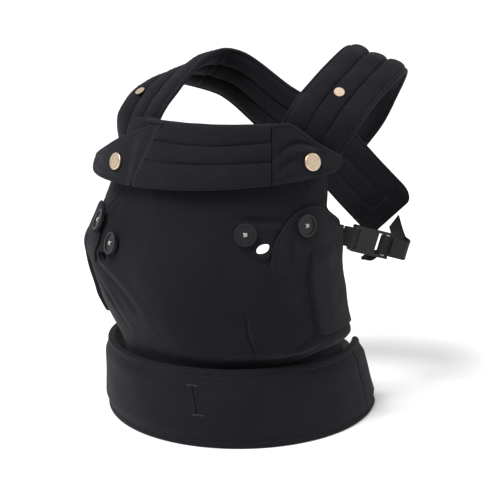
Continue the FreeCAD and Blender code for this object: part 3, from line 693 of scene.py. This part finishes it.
def drawn_in(angle, share):
    """Above the leg openings the panel's sides draw in towards the straps' seams."""
    outer = np.clip(np.abs(angle) - corner_angle, 0, None)
    return angle - np.sign(angle) * outer * share * leg_opening_share


def panel_z(angle, v):
    return mix(panel_foot(angle), panel_top(drawn_in(angle, 1.0)), v)


def panel_surface(u, v, offset):
    angle = mix(-panel_side, panel_side, u)
    z = panel_z(angle, v)
    return panel_point(drawn_in(angle, ease((z - leg_opening_top) / leg_opening_blend)), z, offset)


def panel_edges(u, v):
    angle = mix(-panel_side, panel_side, u)
    rise = panel_z(angle, 1.0) - panel_z(angle, 0.0)
    side = np.minimum(u, 1 - u) * panel_length
    return side, v * rise, (1 - v) * rise


def panel_thick(u, v):
    side, low, high = panel_edges(u, v)
    edge = np.minimum(np.minimum(side, low), high)
    half = panel_half * rim(edge, 2.4) - 0.9 * groove(side - hem, 0.9) - 0.7 * groove(low - hem, 0.9)
    return np.maximum(half, 0.3)


def panel_front(u, v):
    angle = mix(-panel_side, panel_side, u)
    z = panel_z(angle, v)
    side, low, high = panel_edges(u, v)
    calm = ease(np.minimum(side, np.minimum(low, high)) / 14)
    behind_belt = ease((z - 84) / 14)
    return panel_thick(u, v) + panel_relief(angle, z) * calm * behind_belt


def cut(obj, cutter):
    modifier = obj.modifiers.new("cut", "BOOLEAN")
    modifier.object = cutter
    modifier.solver = "EXACT"
    depsgraph = bpy.context.evaluated_depsgraph_get()
    mesh = bpy.data.meshes.new_from_object(obj.evaluated_get(depsgraph))
    obj.modifiers.clear()
    obj.data = mesh
    bpy.data.objects.remove(cutter)


def slot_outline(angle, z, grow, offset, count=40):
    """Rounded outline of a slot on the panel."""
    half_length, half_height = 9.5 + grow, 6.5 + grow
    turn = np.arange(count) * 2 * np.pi / count
    x = half_length * np.sign(np.cos(turn)) * np.abs(np.cos(turn)) ** 0.85
    y = half_height * np.sin(turn)
    return panel_point(angle + x / (degree * panel_radius), z + y, offset)


def slot_cutter(angle, z):
    rings = [slot_outline(angle, z, 0.0, offset) for offset in (-12.0, 12.0)]
    count = len(rings[0])
    points = to_scene(np.concatenate(rings))
    faces = [[k, (k + 1) % count, (k + 1) % count + count, k + count] for k in range(count)]
    faces += [list(range(count))[::-1], list(range(count, 2 * count))]
    return new_object("cutter", points, faces, smooth=False)


def ring_tube(name, outlines, radius, material):
    """Rounded binding round closed outlines."""
    points, faces, start = [], [], 0
    sides = 8
    turn = np.arange(sides) * 2 * np.pi / sides
    for outline, outward, height in outlines:
        along = unit(np.roll(outline, -1, 0) - np.roll(outline, 1, 0))
        side = unit(np.cross(along, outward))
        ring = (outline[:, None] + side[:, None] * (np.cos(turn)[None, :, None] * radius)
                + outward[:, None] * (np.sin(turn)[None, :, None] * height))
        count = len(outline)
        points.append(ring.reshape(-1, 3))
        index = start + np.arange(count * sides).reshape(count, sides)
        for i in range(count):
            for k in range(sides):
                j, n = (i + 1) % count, (k + 1) % sides
                faces.append([int(index[i, k]), int(index[i, n]), int(index[j, n]), int(index[j, k])])
        start += count * sides
    points = to_scene(np.concatenate(points))
    return dress(make_mesh(name, points, np.array(faces), points), material)


def make_panel():
    marks = [hem, panel_length - hem]
    marks += [panel_length / 2 + a * degree * panel_radius for a in (29, 30, 31)]
    us = samples(panel_length, 3.0, marks, (0.6, 1.4))
    vs = samples(panel_rise, 3.0)
    panel = shell("seat_panel", panel_surface, us, vs, panel_front, lambda u, v: -panel_thick(u, v) + 0.8,
                  (panel_length, panel_rise))
    inset = 0.012

    def inner_surface(u, v, offset):
        return panel_surface(mix(inset, 1 - inset, u), mix(inset, 1 - inset, v), offset)

    def inner_back(u, v):
        x, y = u * panel_length, v * panel_rise
        side = np.minimum(u, 1 - u) * panel_length
        return -panel_thick(u, v) - 0.4 * rim(side, 2) + 0.3 * ripple(x, y, 60, 21)

    inner = shell("panel_inner_lining", inner_surface, samples(panel_length, 5.0), samples(panel_rise, 5.0),
                  lambda u, v: inner_back(u, v) + 0.9, inner_back, (panel_length, panel_rise))
    outlines = []
    for angle, z in slots:
        cut(panel, slot_cutter(angle, z))
        cut(inner, slot_cutter(angle, z))
        outline = slot_outline(angle, z, 0.8, 0.0)
        outward = unit(slot_outline(angle, z, 0.8, 5.0) - outline)
        outlines.append((outline + outward * 0.6, outward, 2.6))
    dress(panel, canvas, nodes=["panel_cover", "panel_padding"])
    dress(inner, lining, nodes=["panel_lining"])
    ring_tube("panel_slot_bindings", outlines, 1.5, canvas)


def panel_stitching():
    def surface(u, v):
        return panel_surface(u, v, panel_front(u, v) + 0.3)

    run = np.linspace(0.03, 0.985, 160)
    inset = hem / panel_length
    rows = [np.column_stack([np.full(160, inset), run]), np.column_stack([np.full(160, 1 - inset), run])]
    dress(tube("panel_stitches", stitch_lines(surface, rows), 0.28, 5), black_thread)


# ---- side tabs and thigh pads ------------------------------------------------------------------------
tab_inner = {-1: 50.0, 1: 43.0}
tab_head = [(0, 262), (.12, 289), (.30, 300), (.5, 296), (.75, 272), (1, 262)]
tab_foot = [(0, 235), (.12, 200), (.35, 150), (1, 134)]


def tab_edges(side, u):
    lift, foot_lift = (-16, 5) if side < 0 else (0, 0)
    return single(tab_foot, u) + foot_lift, single(tab_head, u) + lift


def tab_surface(side):
    def surface(u, v, offset):
        foot, head = tab_edges(side, u)
        angle = side * mix(tab_inner[side], panel_side, u)
        return panel_point(angle, mix(foot, head, v), offset)

    return surface


def tab_middle(side, u, v):
    """The tab lies flush in the panel at its foot and lifts off it towards its buttoned head."""
    foot, head = tab_edges(side, u)
    z = mix(foot, head, v)
    lift = -16 if side < 0 else 0
    return mix(0.6, 6.2, ease((z - 205 - lift) / 45))


def make_tab(side, name):
    width = (panel_side - tab_inner[side]) * degree * panel_radius
    rise = 150.0
    angle_at = lambda u: side * mix(tab_inner[side], panel_side, u)

    def thick(u, v):
        foot, head = tab_edges(side, u)
        edge = np.minimum(np.minimum(u, 1 - u) * width, np.minimum(v, 1 - v) * (head - foot))
        return np.maximum(1.7 * rim(edge, 1.8) - 0.5 * groove(edge - 4.5, 0.8), 0.25)

    def front(u, v):
        foot, head = tab_edges(side, u)
        z = mix(foot, head, v)
        x, y = cloth_xy(angle_at(u), z)
        edge = np.minimum(np.minimum(u, 1 - u) * width, (1 - v) * (head - foot))
        relief = 0.5 * ripple(x, y, 40, 31 + side) * ease(edge / 10)
        if side > 0:
            spots = [cloth_xy(a, h) for a, h in ((50.5, 275), (51.3, 255), (53.6, 230))]
            relief = relief + crease(x, y, spots, 1.8, 2.6)
        return tab_middle(side, u, v) + thick(u, v) + relief

    us, vs = samples(width, 2.2, [4.5, width - 4.5]), samples(rise, 2.4, [rise - 4.5])
    tab = shell("side_tab_cloth_" + name, tab_surface(side), us, vs, front,
                lambda u, v: tab_middle(side, u, v) - thick(u, v), (width, rise))
    dress(tab, canvas, nodes=["side_tab_" + name])

    def pad_surface(u, v, offset):
        z = mix(133.0, 262.0, v)
        corner = np.clip((145.0 - z) / 12.0, 0, 1)
        left = 63.0 + (1 - np.sqrt(1 - corner ** 2 * 0.96)) * 12.0 / (degree * panel_radius)
        return panel_point(side * mix(left, panel_side - 0.6, u), z, offset)

    pad_width = 29 * degree * panel_radius

    def pad_front(u, v):
        z = mix(133.0, 262.0, v)
        edge = np.minimum(u * pad_width, v * 129.0)
        far = (1 - u) * pad_width
        base = mix(panel_half, tab_middle(side, (mix(63.0, panel_side, u) - tab_inner[side])
                                          / (panel_side - tab_inner[side]), v) + 1.7, ease((z - 215) / 30))
        fade = ease((258.0 - z) / 34.0)
        swell = 6.2 * rim(edge, 3.5) * rim(far, 5.0) * fade
        return base - 1.2 + swell + 0.35 * ripple(u * pad_width, z, 30, 37)

    pad = shell("thigh_pad_cushion_" + name, pad_surface, samples(pad_width, 2.4), samples(129.0, 2.6),
                pad_front, lambda u, v: np.minimum(pad_front(u, v) - 0.8, 1.5 + 0 * u), (pad_width, 129.0))
    dress(pad, canvas, nodes=["thigh_pad_" + name])


# ---- headrest ----------------------------------------------------------------------------------------
first_seam = [(-36, .29), (-21, .286), (7, .327), (40, .275)]
second_seam = [(-36, .595), (-27, .592), (7, .601), (40, .597)]


def left_seam(share):
    """Angle of the slanting seam between the headrest's channels and its left wing."""
    return -15.0 - 18.0 * share


def channel_share(angle, v):
    """Share of the drop, with the three channels at equal thirds of v."""
    low, high = single(first_seam, angle), single(second_seam, angle)
    third = v * 3
    return np.where(third < 1, low * third,
                    np.where(third < 2, mix(low, high, third - 1), mix(high, 1.0, third - 2)))


def headrest_angle(u, v):
    """The channels run from the slanting left seam to the right seam."""
    rough = v * 0.98
    return mix(left_seam(rough), 36.5, u)


def headrest_surface(u, v, offset):
    angle = headrest_angle(u, v)
    return headrest_point(angle, channel_share(angle, v), offset)


headrest_length = 62 * degree * 155


def crown(share, power=2.4):
    """Cross-section of a padded channel, 0 at its seams and 1 at its middle."""
    return np.maximum(1 - np.abs(2 * share - 1) ** power, 0) ** 0.55


def in_channel(v):
    """Share across the channel that v lies in."""
    return v * 3 - np.floor(np.minimum(v * 3, 2.999))


def headrest_thick(u, v):
    inside = in_channel(v)
    end = np.minimum(u, 1 - u) * headrest_length
    half = 2.0 + 4.8 * crown(inside) * rim(end, 5.0)
    half *= rim(np.minimum(v * 75, (1 - v) * 115), 3.0) * rim(end, 1.6)
    return np.maximum(half, 0.4)


def make_headrest():
    def front(u, v):
        inside = in_channel(v)
        s = u * headrest_length
        seam = np.minimum(inside, 1 - inside) * 26
        wrinkle = 0.30 * pucker(s, seam, 41, 9.0, 5.0) + 0.5 * ripple(s, v * 86, 45, 42) * rim(seam, 10)
        return headrest_thick(u, v) + wrinkle * ease(np.minimum(u, 1 - u) * headrest_length / 8)

    us = samples(headrest_length, 2.4)
    vs = samples(100.0, 1.9, [100 / 3, 200 / 3], (0.5, 1.1, 2.0))
    pad = shell("headrest_cushion", headrest_surface, us, vs, front, lambda u, v: -headrest_thick(u, v),
                (headrest_length, headrest_drop))
    dress(pad, canvas, "headrest",
          ["headrest_cover", "headrest_backing", "headrest_roll_1", "headrest_roll_2", "headrest_roll_3"])

    def surface(u, v):
        return headrest_surface(u, v, headrest_thick(u, v) + 0.45)

    run = np.linspace(0.02, 0.985, 120)
    rows = [np.column_stack([run, np.full(120, v)]) for v in (1 / 3, 2 / 3)]
    dress(tube("headrest_stitches", stitch_lines(surface, rows, 4.0), 0.26, 5), black_thread,
          "headrest")


fold_rise = 0.42                # height of the fold's roll as a share of its depth


def make_fold():
    """The panel's cloth turning over at its top edge to become the headrest."""
    reach = (headrest_half + 1.5 + headrest_clearance + headrest_half + panel_half) / 2
    middle = panel_half + headrest_clearance + headrest_half - reach + headrest_half - 1.0

    def surface(u, v, offset):
        angle = mix(-30.0, 38.0, u)
        turn = mix(-0.35, 1.0, v) * np.pi
        radius = reach + offset
        height = fold_rise
        z = body_height - 1.0 + radius * height * np.sin(turn)
        return panel_point(angle, np.full(np.shape(z), 399.0), middle - radius * np.cos(turn)) \
            + point3(0 * z, 0 * z, z - 399.0)

    length = 68 * degree * 140

    def front(u, v):
        s, t = u * length, v * 40
        edge = np.minimum(np.minimum(u, 1 - u) * length, np.minimum(v, 1 - v) * 40)
        return -1.4 + 0.35 * ripple(s, t, 35, 51) * ease(edge / 8)

    fold = shell("headrest_fold_cloth", surface, samples(length, 3.0), samples(40.0, 2.0), front,
                 lambda u, v: -2.6 + 0 * u, (length, 40.0))
    dress(fold, canvas, None)
    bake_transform(fold)


# ---- headrest wings ----------------------------------------------------------------------------------
wing_join = {-1: 0.30, 1: 0.10}     # share of the wing's cloth between its seam and the wing's fold


def full_wing_surface(side):
    join = wing_join[side]

    def surface(w, v, offset):
        near = np.clip(w / join, 0, 1)
        seam = left_seam(v) if side < 0 else np.full(np.shape(v), 36.5)
        top = wing_upper[side][0][1] * near ** 1.3
        inner = headrest_point(mix(seam, side * (headrest_side[side] + 0.6), near), mix(top, 1.0, v), offset)
        outer = wing_point(side, np.clip((w - join) / (1 - join), 0, 1), v, offset)
        return np.where((w < join)[..., None], inner, outer)

    return surface


cap_spots = {-1: (0.21, 0.56), 1: (0.464, 0.62)}


def make_wing(side, name):
    width = wing_angle[side] * degree * 160 / (1 - wing_join[side])
    drop = 75.0
    body = "headrest_wing_" + name

    def edge_of(w, v):
        tip = (1 - w) * width
        return np.minimum(np.minimum(v, 1 - v) * mix(drop, drop * 0.25, w), tip)

    def thick(w, v):
        edge = edge_of(w, v)
        start = w * width
        half = mix(4.4, 2.4, ease(start / 16)) * rim(edge, 2.2) * mix(0.35, 1.0, rim(start, 3.0))
        return np.maximum(half - 0.45 * groove(edge - 5.0, 0.8), 0.3)

    def front(w, v):
        x, y = w * width, v * drop
        spot_w, spot_v = wing_join[side] + cap_spots[side][0] * (1 - wing_join[side]), cap_spots[side][1]
        away = np.hypot(x - spot_w * width, y - spot_v * drop)
        relief = 0.7 * ripple(x, y, 34, 61 + side)
        if side > 0:
            relief = relief + crease(x, y, [(3, 44), (16, 32), (38, 22), (62, 12)], 4.2, 4.0, 0.9)
            relief = relief + crease(x, y, [(4, 60), (18, 50), (34, 47)], 1.6, 3.5)
        else:
            relief = relief + crease(x, y, [(6, 38), (22, 34), (34, 38)], 0.8, 3.4)
            relief = relief + crease(x, y, [(4, 56), (20, 50), (34, 50)], 0.7, 3.0)
            relief = relief + crease(x, y, [(10, 20), (30, 22)], 0.6, 3.6)
        relief = relief * ease(edge_of(w, v) / 10) * ease((away - 9) / 8)
        return thick(w, v) + relief - 0.9 * groove(away, 14.0) * ease((16 - away) / 8)

    us, vs = samples(width, 2.2, [5.0]), samples(drop, 2.0, [5.0, drop - 5.0])
    wing = shell("wing_cloth_" + name, full_wing_surface(side), us, vs, front,
                 lambda w, v: -thick(w, v), (width, drop))
    dress(wing, canvas, None, [body])
    start = to_scene(headrest_point(side * (headrest_side[side] - 3), 0.5, 0.0))
    end = to_scene(wing_point(side, 0.12, 0.5, 0.0))
    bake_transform(wing)


# ---- shoulder straps ---------------------------------------------------------------------------------
def strap_edge_inset(from_end):
    """Straps are full width all along; their hemmed ends are rounded by this much at the corners."""
    return 30.0 * (1 - rim(from_end, 24.0))


def make_strap(side, name):
    rows = strap_rows(side)
    length = rows[-1, 0]

    def surface(u, v, offset):
        half_width = strap_width / 2 - strap_edge_inset((1 - u) * length) * 0.5
        return strap_point(rows, u, (2 * v - 1) * half_width, offset)

    def channel(v):
        edge = np.minimum(v, 1 - v) * strap_width
        hemmed = 0.055
        inner = np.clip((v - hemmed) / (1 - 2 * hemmed), 0, 0.9999) * 3
        return edge, inner - np.floor(inner)

    ends = [(0, 0.7), (.05, 1), (.925, 1), (.95, 0), (1, 0)] if side < 0 else [(0, 0.7), (.05, 1), (1, 1)]

    def thick(u, v):
        edge, inside = channel(v)
        s = u * length
        live = np.clip(single(ends, u), 0, 1)
        pad = 1.7 + 5.6 * crown(inside, 2.2) * live + 2.0 * (1 - live)
        flat = 2.6
        half = mix(flat, pad, ease((edge - 3.0) / 3.0)) * rim(edge, 1.8)
        half *= rim(np.minimum(s, length - s), 2.5)
        return np.maximum(half, 0.5)

    def relief(u, v, pleats, waves, kink, calm):
        """Puckers along the seams, soft waves, and the left strap's kink over the shoulder."""
        edge, inside = channel(v)
        s, t = u * length, v * strap_width
        seam = np.minimum(inside, 1 - inside) * 26
        height = pleats[0] * pucker(s, seam, *pleats[1:]) + waves[0] * ripple(s, t, *waves[1:])
        if side < 0:
            line = [(0.385 * length, 4), (0.40 * length, 42), (0.42 * length, 80)]
            height = height + crease(s, t, line, kink, 3.0)
        return height * ease(edge / calm) * rim(np.minimum(s, length - s), 8)

    def front(u, v):
        return thick(u, v) + relief(u, v, (0.22, 71 + side, 10.0, 4.0), (0.55, 50, 72 + side), 2.0, 8)

    def back(u, v):
        return -thick(u, v) - relief(u, v, (0.75, 75 + side, 7.5, 7.0), (0.6, 32, 76 + side), 2.6, 6)

    hemmed = 0.055 * strap_width
    third = (strap_width - 2 * hemmed) / 3
    marks = [hemmed, hemmed + third, hemmed + 2 * third, strap_width - hemmed]
    vs = samples(strap_width, 2.6, marks, (0.6, 1.4))
    strap = shell("shoulder_strap_" + name, surface, samples(length, 2.6), vs, front, back,
                  (length, strap_width))
    dress(strap, canvas, nodes=["strap_cover_" + name, "strap_lining_" + name]
          + ["strap_foam_%s_%d" % (name, i) for i in (1, 2, 3)])

    run = np.linspace(0.012, 0.988, 260)
    seams = [np.column_stack([run, np.full(260, mark / strap_width)]) for mark in marks]
    if side < 0:
        low, high = marks[1] / strap_width, marks[2] / strap_width
        seams.append([(0.93, low), (0.955, low), (0.955, high), (0.93, high), (0.93, low), (0.955, high)])
    lines = stitch_lines(lambda u, v: surface(u, v, front(u, v) + 0.3), seams, 4.6)
    lines += stitch_lines(lambda u, v: surface(u, v, back(u, v) - 0.3), seams, 4.6)
    dress(tube("strap_stitches_" + name, lines, 0.28, 5), black_thread)


# ---- webbing -----------------------------------------------------------------------------------------
def band(name, middles, widths, width, nodes=(), body="root", steps=2.0, taper=0.0):
    """Webbing along a line of points, with rounded selvages."""
    rows = ribbon_rows(middles, widths)
    length = rows[-1, 0]

    def surface(u, v, offset):
        narrow = 1 - taper * ease((u - 1 + 14 / length) * length / 14) if taper else 1.0
        return ribbon_point(rows, u, (v - 0.5) * width * narrow, offset)

    def thick(u, v):
        edge = np.minimum(v, 1 - v) * width
        half = web_thickness / 2 * rim(edge, 0.9)
        return half + 0.10 * groove(edge - 2.2, 0.7) + 0.06 * np.sin(u * length * 2 * np.pi / 3.2)

    us = samples(length, steps, (), (0.5,))
    vs = samples(width, 1.6, (2.2, width - 2.2), (0.5, 1.0))
    obj = shell(name, surface, us, vs, thick, lambda u, v: -thick(u, v), (length, width))
    return dress(obj, tape, body, nodes)


def frame_at(origin, along, up):
    x = unit(np.asarray(along, float))
    z = unit(np.cross(x, up))
    y = np.cross(z, x)
    return np.asarray(origin, float), x, y, z


def local(place, x, y, z):
    origin, ax, ay, az = place
    return origin + ax * x + ay * y + az * z


def side_place(name):
    side, height, along = ((1, 250.0, (0.705, 0.641, -0.308)) if name == "right"
                           else (-1, 242.0, (0.86, 0.50, -0.06)))
    edge = panel_point(side * panel_side, height, 0.0)
    return frame_at(edge + unit(np.array(along)) * 50.0, along, (0, 0, 1))


waist_place = frame_at((0, 132.0, 45.0), (1, 0, 0), (0, 0, 1))


def loop_line(place, bar_x, reach, radius, meet):
    """Webbing round a bar, its two layers coming together at the far end."""
    turn = -1 if reach > bar_x else 1
    r = radius + web_thickness / 2
    points = [local(place, reach, 0, meet), local(place, mix(reach, bar_x, 0.35), 0, mix(meet, r, 0.6)),
              local(place, mix(reach, bar_x, 0.75), 0, r)]
    for k in range(7):
        a = math.pi * (0.5 - k / 6)
        points.append(local(place, bar_x + turn * r * math.cos(a), 0, r * math.sin(a)))
    points += [local(place, mix(reach, bar_x, 0.75), 0, -r),
               local(place, mix(reach, bar_x, 0.35), 0, mix(-meet, -r, 0.6)), local(place, reach, 0, -meet)]
    return points


def make_webbing():
    for name in ("left", "right"):
        place = side_place(name)
        up = place[2]
        line = loop_line(place, -28.5, -42.5, 3.2, 1.0)
        band("side_%s_stub" % name, line, [up] * len(line), side_web, ["side_%s_female_webbing" % name])
        line = loop_line(place, 15.5, 30.0, 2.6, 2.6)
        band("side_%s_wrap" % name, line, [up] * len(line), side_web, ["side_%s_male_webbing" % name],
             "side_%s_male" % name)

    place = side_place("right")
    end = ribbon_point(strap_rows(-1), 1.0, 0.0, 0.0)
    line = [local(place, 27, 0, 6.0), local(place, 42, 0, 6.0), local(place, 51, 0, 5.0),
            local(place, 55, 2, -3.0), local(place, 52, 5, -14.0)]
    line.append(end + unit(line[-1] - end) * (strap_half + 1.0))
    obj = band("side_right_lead", line, [place[2]] * len(line), side_web, ["side_right_strap_webbing"], None)
    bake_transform(obj)
    tail = [local(place, 22, -6, -3.6), local(place, 18, -12, -7), local(place, 10, -19, -10),
            local(place, 0, -25, -12)]
    band("side_right_tail", tail, [place[2] + place[1] * 0.9] * 4, side_web * 0.6, (), "side_right_male",
         taper=0.7)

    place = side_place("left")
    end = ribbon_point(strap_rows(1), 1.0, 0.0, 0.0)
    line = [local(place, 27, 0, 6.0), local(place, 48, 0, 6.0), local(place, 70, 0, 6.0)]
    line.append(end + unit(line[-1] - end) * (strap_half + 1.0))
    obj = band("side_left_lead", line, [place[2]] * len(line), side_web, ["side_left_strap_webbing"], None)
    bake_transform(obj)

    place = waist_place
    up = place[2]
    line = loop_line(place, -28.5, -44.0, 3.2, 2.6)
    band("waist_female_loop", line, [up] * len(line), waist_web, ["waist_female_webbing"])
    line = loop_line(place, 15.5, 30.0, 2.6, 2.6)
    band("waist_male_loop", line, [up] * len(line), waist_web, ["waist_male_webbing"], "waist_male")
    inside = -belt_half - web_thickness - 1.0
    for side, name in ((-1, "left"), (1, "right")):
        angles = [side * (belt_half_angle + past) for past in (-10, -6, -2, 2)]
        sewn = [belt_point(angle, 0.5, inside) for angle in angles]
        leaning = [unit(belt_point(angle, 0.7, inside) - belt_point(angle, 0.3, inside))
                   for angle in angles]
        middle = np.array([sewn[-1][0] * 0.78, mix(sewn[-1][1], 132.0, 0.62), 45.0])
        reach = 58.0 if side < 0 else 50.0
        finish = [local(place, side * reach, 0, -7.0), local(place, side * (reach - 18), 0, -7.0)]
        line, widths = sewn + [middle] + finish, leaning + [np.array([0, 0, 1.0])] * 3
        obj = band("waist_lead_" + name, line, widths, waist_web, ["waist_webbing_" + name],
                   "root" if side < 0 else None)
        if side > 0:
            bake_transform(obj)


# ---- buttons and press studs -------------------------------------------------------------------------
button_spots = [(-40.0, 246.0, 0.0), (28.5, 274.0, 0.0), (-54.0, 267.0, 3.6), (57.5, 279.0, 3.6)]


button_stand = 2.1              # from the cloth to the button's back


def make_threads():
    """Two crossed stitches over each button, of three strands each."""
    lines = []
    for angle, z, lift in button_spots:
        below, here, above = [panel_point(angle, z + step, panel_half + button_stand + lift)
                              for step in (-2, 0, 2)]
        a = angle * degree
        place = frame_at(here, (math.cos(a), math.sin(a), 0), above - below)
        for turn in (math.pi / 4, 3 * math.pi / 4):
            for strand in (-0.75, 0, 0.75):
                line = []
                for t in np.linspace(-1, 1, 9):
                    along = t * 3.6
                    high = 1.6 + 2.6 * (1 - t ** 4)
                    x = along * math.cos(turn) - strand * math.sin(turn)
                    y = along * math.sin(turn) + strand * math.cos(turn)
                    line.append(local(place, x, y, high))
                lines.append(line)
        for k in range(8):
            b = k * math.pi / 4
            lines.append([local(place, 1.3 * math.cos(b + h), 1.3 * math.sin(b + h), -2.0 + 2.2 * h)
                          for h in np.linspace(0, 1.4, 6)])
    dress(tube("button_stitches", lines, 0.26, 6), white_thread, nodes=["button_threads"])


def soften(node, width):
    """Rounds the sharp edges of a moulded or pressed piece."""
    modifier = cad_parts[node].modifiers.new("edges", "BEVEL")
    modifier.width = width
    modifier.segments = 2
    modifier.limit_method = "ANGLE"
    modifier.angle_limit = math.radians(35)
    modifier.harden_normals = False


def repaint(node, material):
    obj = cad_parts[node]
    if not obj.material_slots:
        obj.data.materials.append(material)
    for slot in obj.material_slots:
        slot.material = material


def finish_hardware():
    for name in ("side_left", "side_right", "waist"):
        for half in ("buckle_female", "buckle_male", "buckle_arm_upper", "buckle_arm_lower"):
            repaint("%s_%s" % (name, half), buckle_plastic)
            soften("%s_%s" % (name, half), 0.0006)
    for node in ("inner_buttons", "outer_buttons"):
        repaint(node, button_plastic)
        soften(node, 0.0005)
    for node in ("snap_cap_left", "snap_cap_right", "snap_socket_left", "snap_socket_right", "panel_studs",
                 "strap_studs", "strap_stud_washers"):
        repaint(node, metal)
        soften(node, 0.00025)


# ---- floor and light ---------------------------------------------------------------------------------
def make_studio():
    bpy.ops.mesh.primitive_plane_add(size=40)
    floor = bpy.context.object
    floor.name = "studio_floor"
    n = Nodes("studio_paper")
    coords = n.add("ShaderNodeTexCoord").outputs["Object"]
    paper = n.blend(n.noise(coords, 3.0), rgb(0.86, 0.86, 0.86), rgb(0.88, 0.88, 0.88))
    floor.data.materials.append(n.finish(Base_Color=paper, Roughness=0.9, Specular_IOR_Level=0.1))

    world = bpy.data.worlds.new("studio")
    bpy.context.scene.world = world
    world.use_nodes = True
    world.node_tree.nodes["Background"].inputs["Color"].default_value = (1.0, 1.0, 1.0, 1.0)
    world.node_tree.nodes["Background"].inputs["Strength"].default_value = 0.55

    def lamp(name, kind, place, target, energy, **settings):
        light = bpy.data.lights.new(name, kind)
        light.energy = energy
        for key, value in settings.items():
            setattr(light, key, value)
        obj = bpy.data.objects.new(name, light)
        obj.location = place
        obj.rotation_euler = (Vector(place) - Vector(target)).to_track_quat("Z", "Y").to_euler()
        bpy.context.scene.collection.objects.link(obj)

    lamp("sun", "SUN", (-0.8, -1.6, 3.0), (0, 0, 0), 3.2, angle=math.radians(24))
    lamp("key", "AREA", (-1.2, -1.4, 1.9), (0, 0.1, 0.2), 14.0, shape="DISK", size=1.2)
    lamp("rim", "AREA", (1.6, 0.9, 1.4), (0, 0.1, 0.25), 10.0, shape="DISK", size=0.8)
    bpy.context.scene.view_settings.view_transform = "Standard"


make_studio()
make_belt()
belt_stitching()
make_panel()
panel_stitching()
for side, name in ((-1, "left"), (1, "right")):
    make_tab(side, name)
    make_wing(side, name)
    make_strap(side, name)
make_headrest()
make_fold()
make_webbing()
make_threads()
finish_hardware()

bpy.context.view_layer.update()
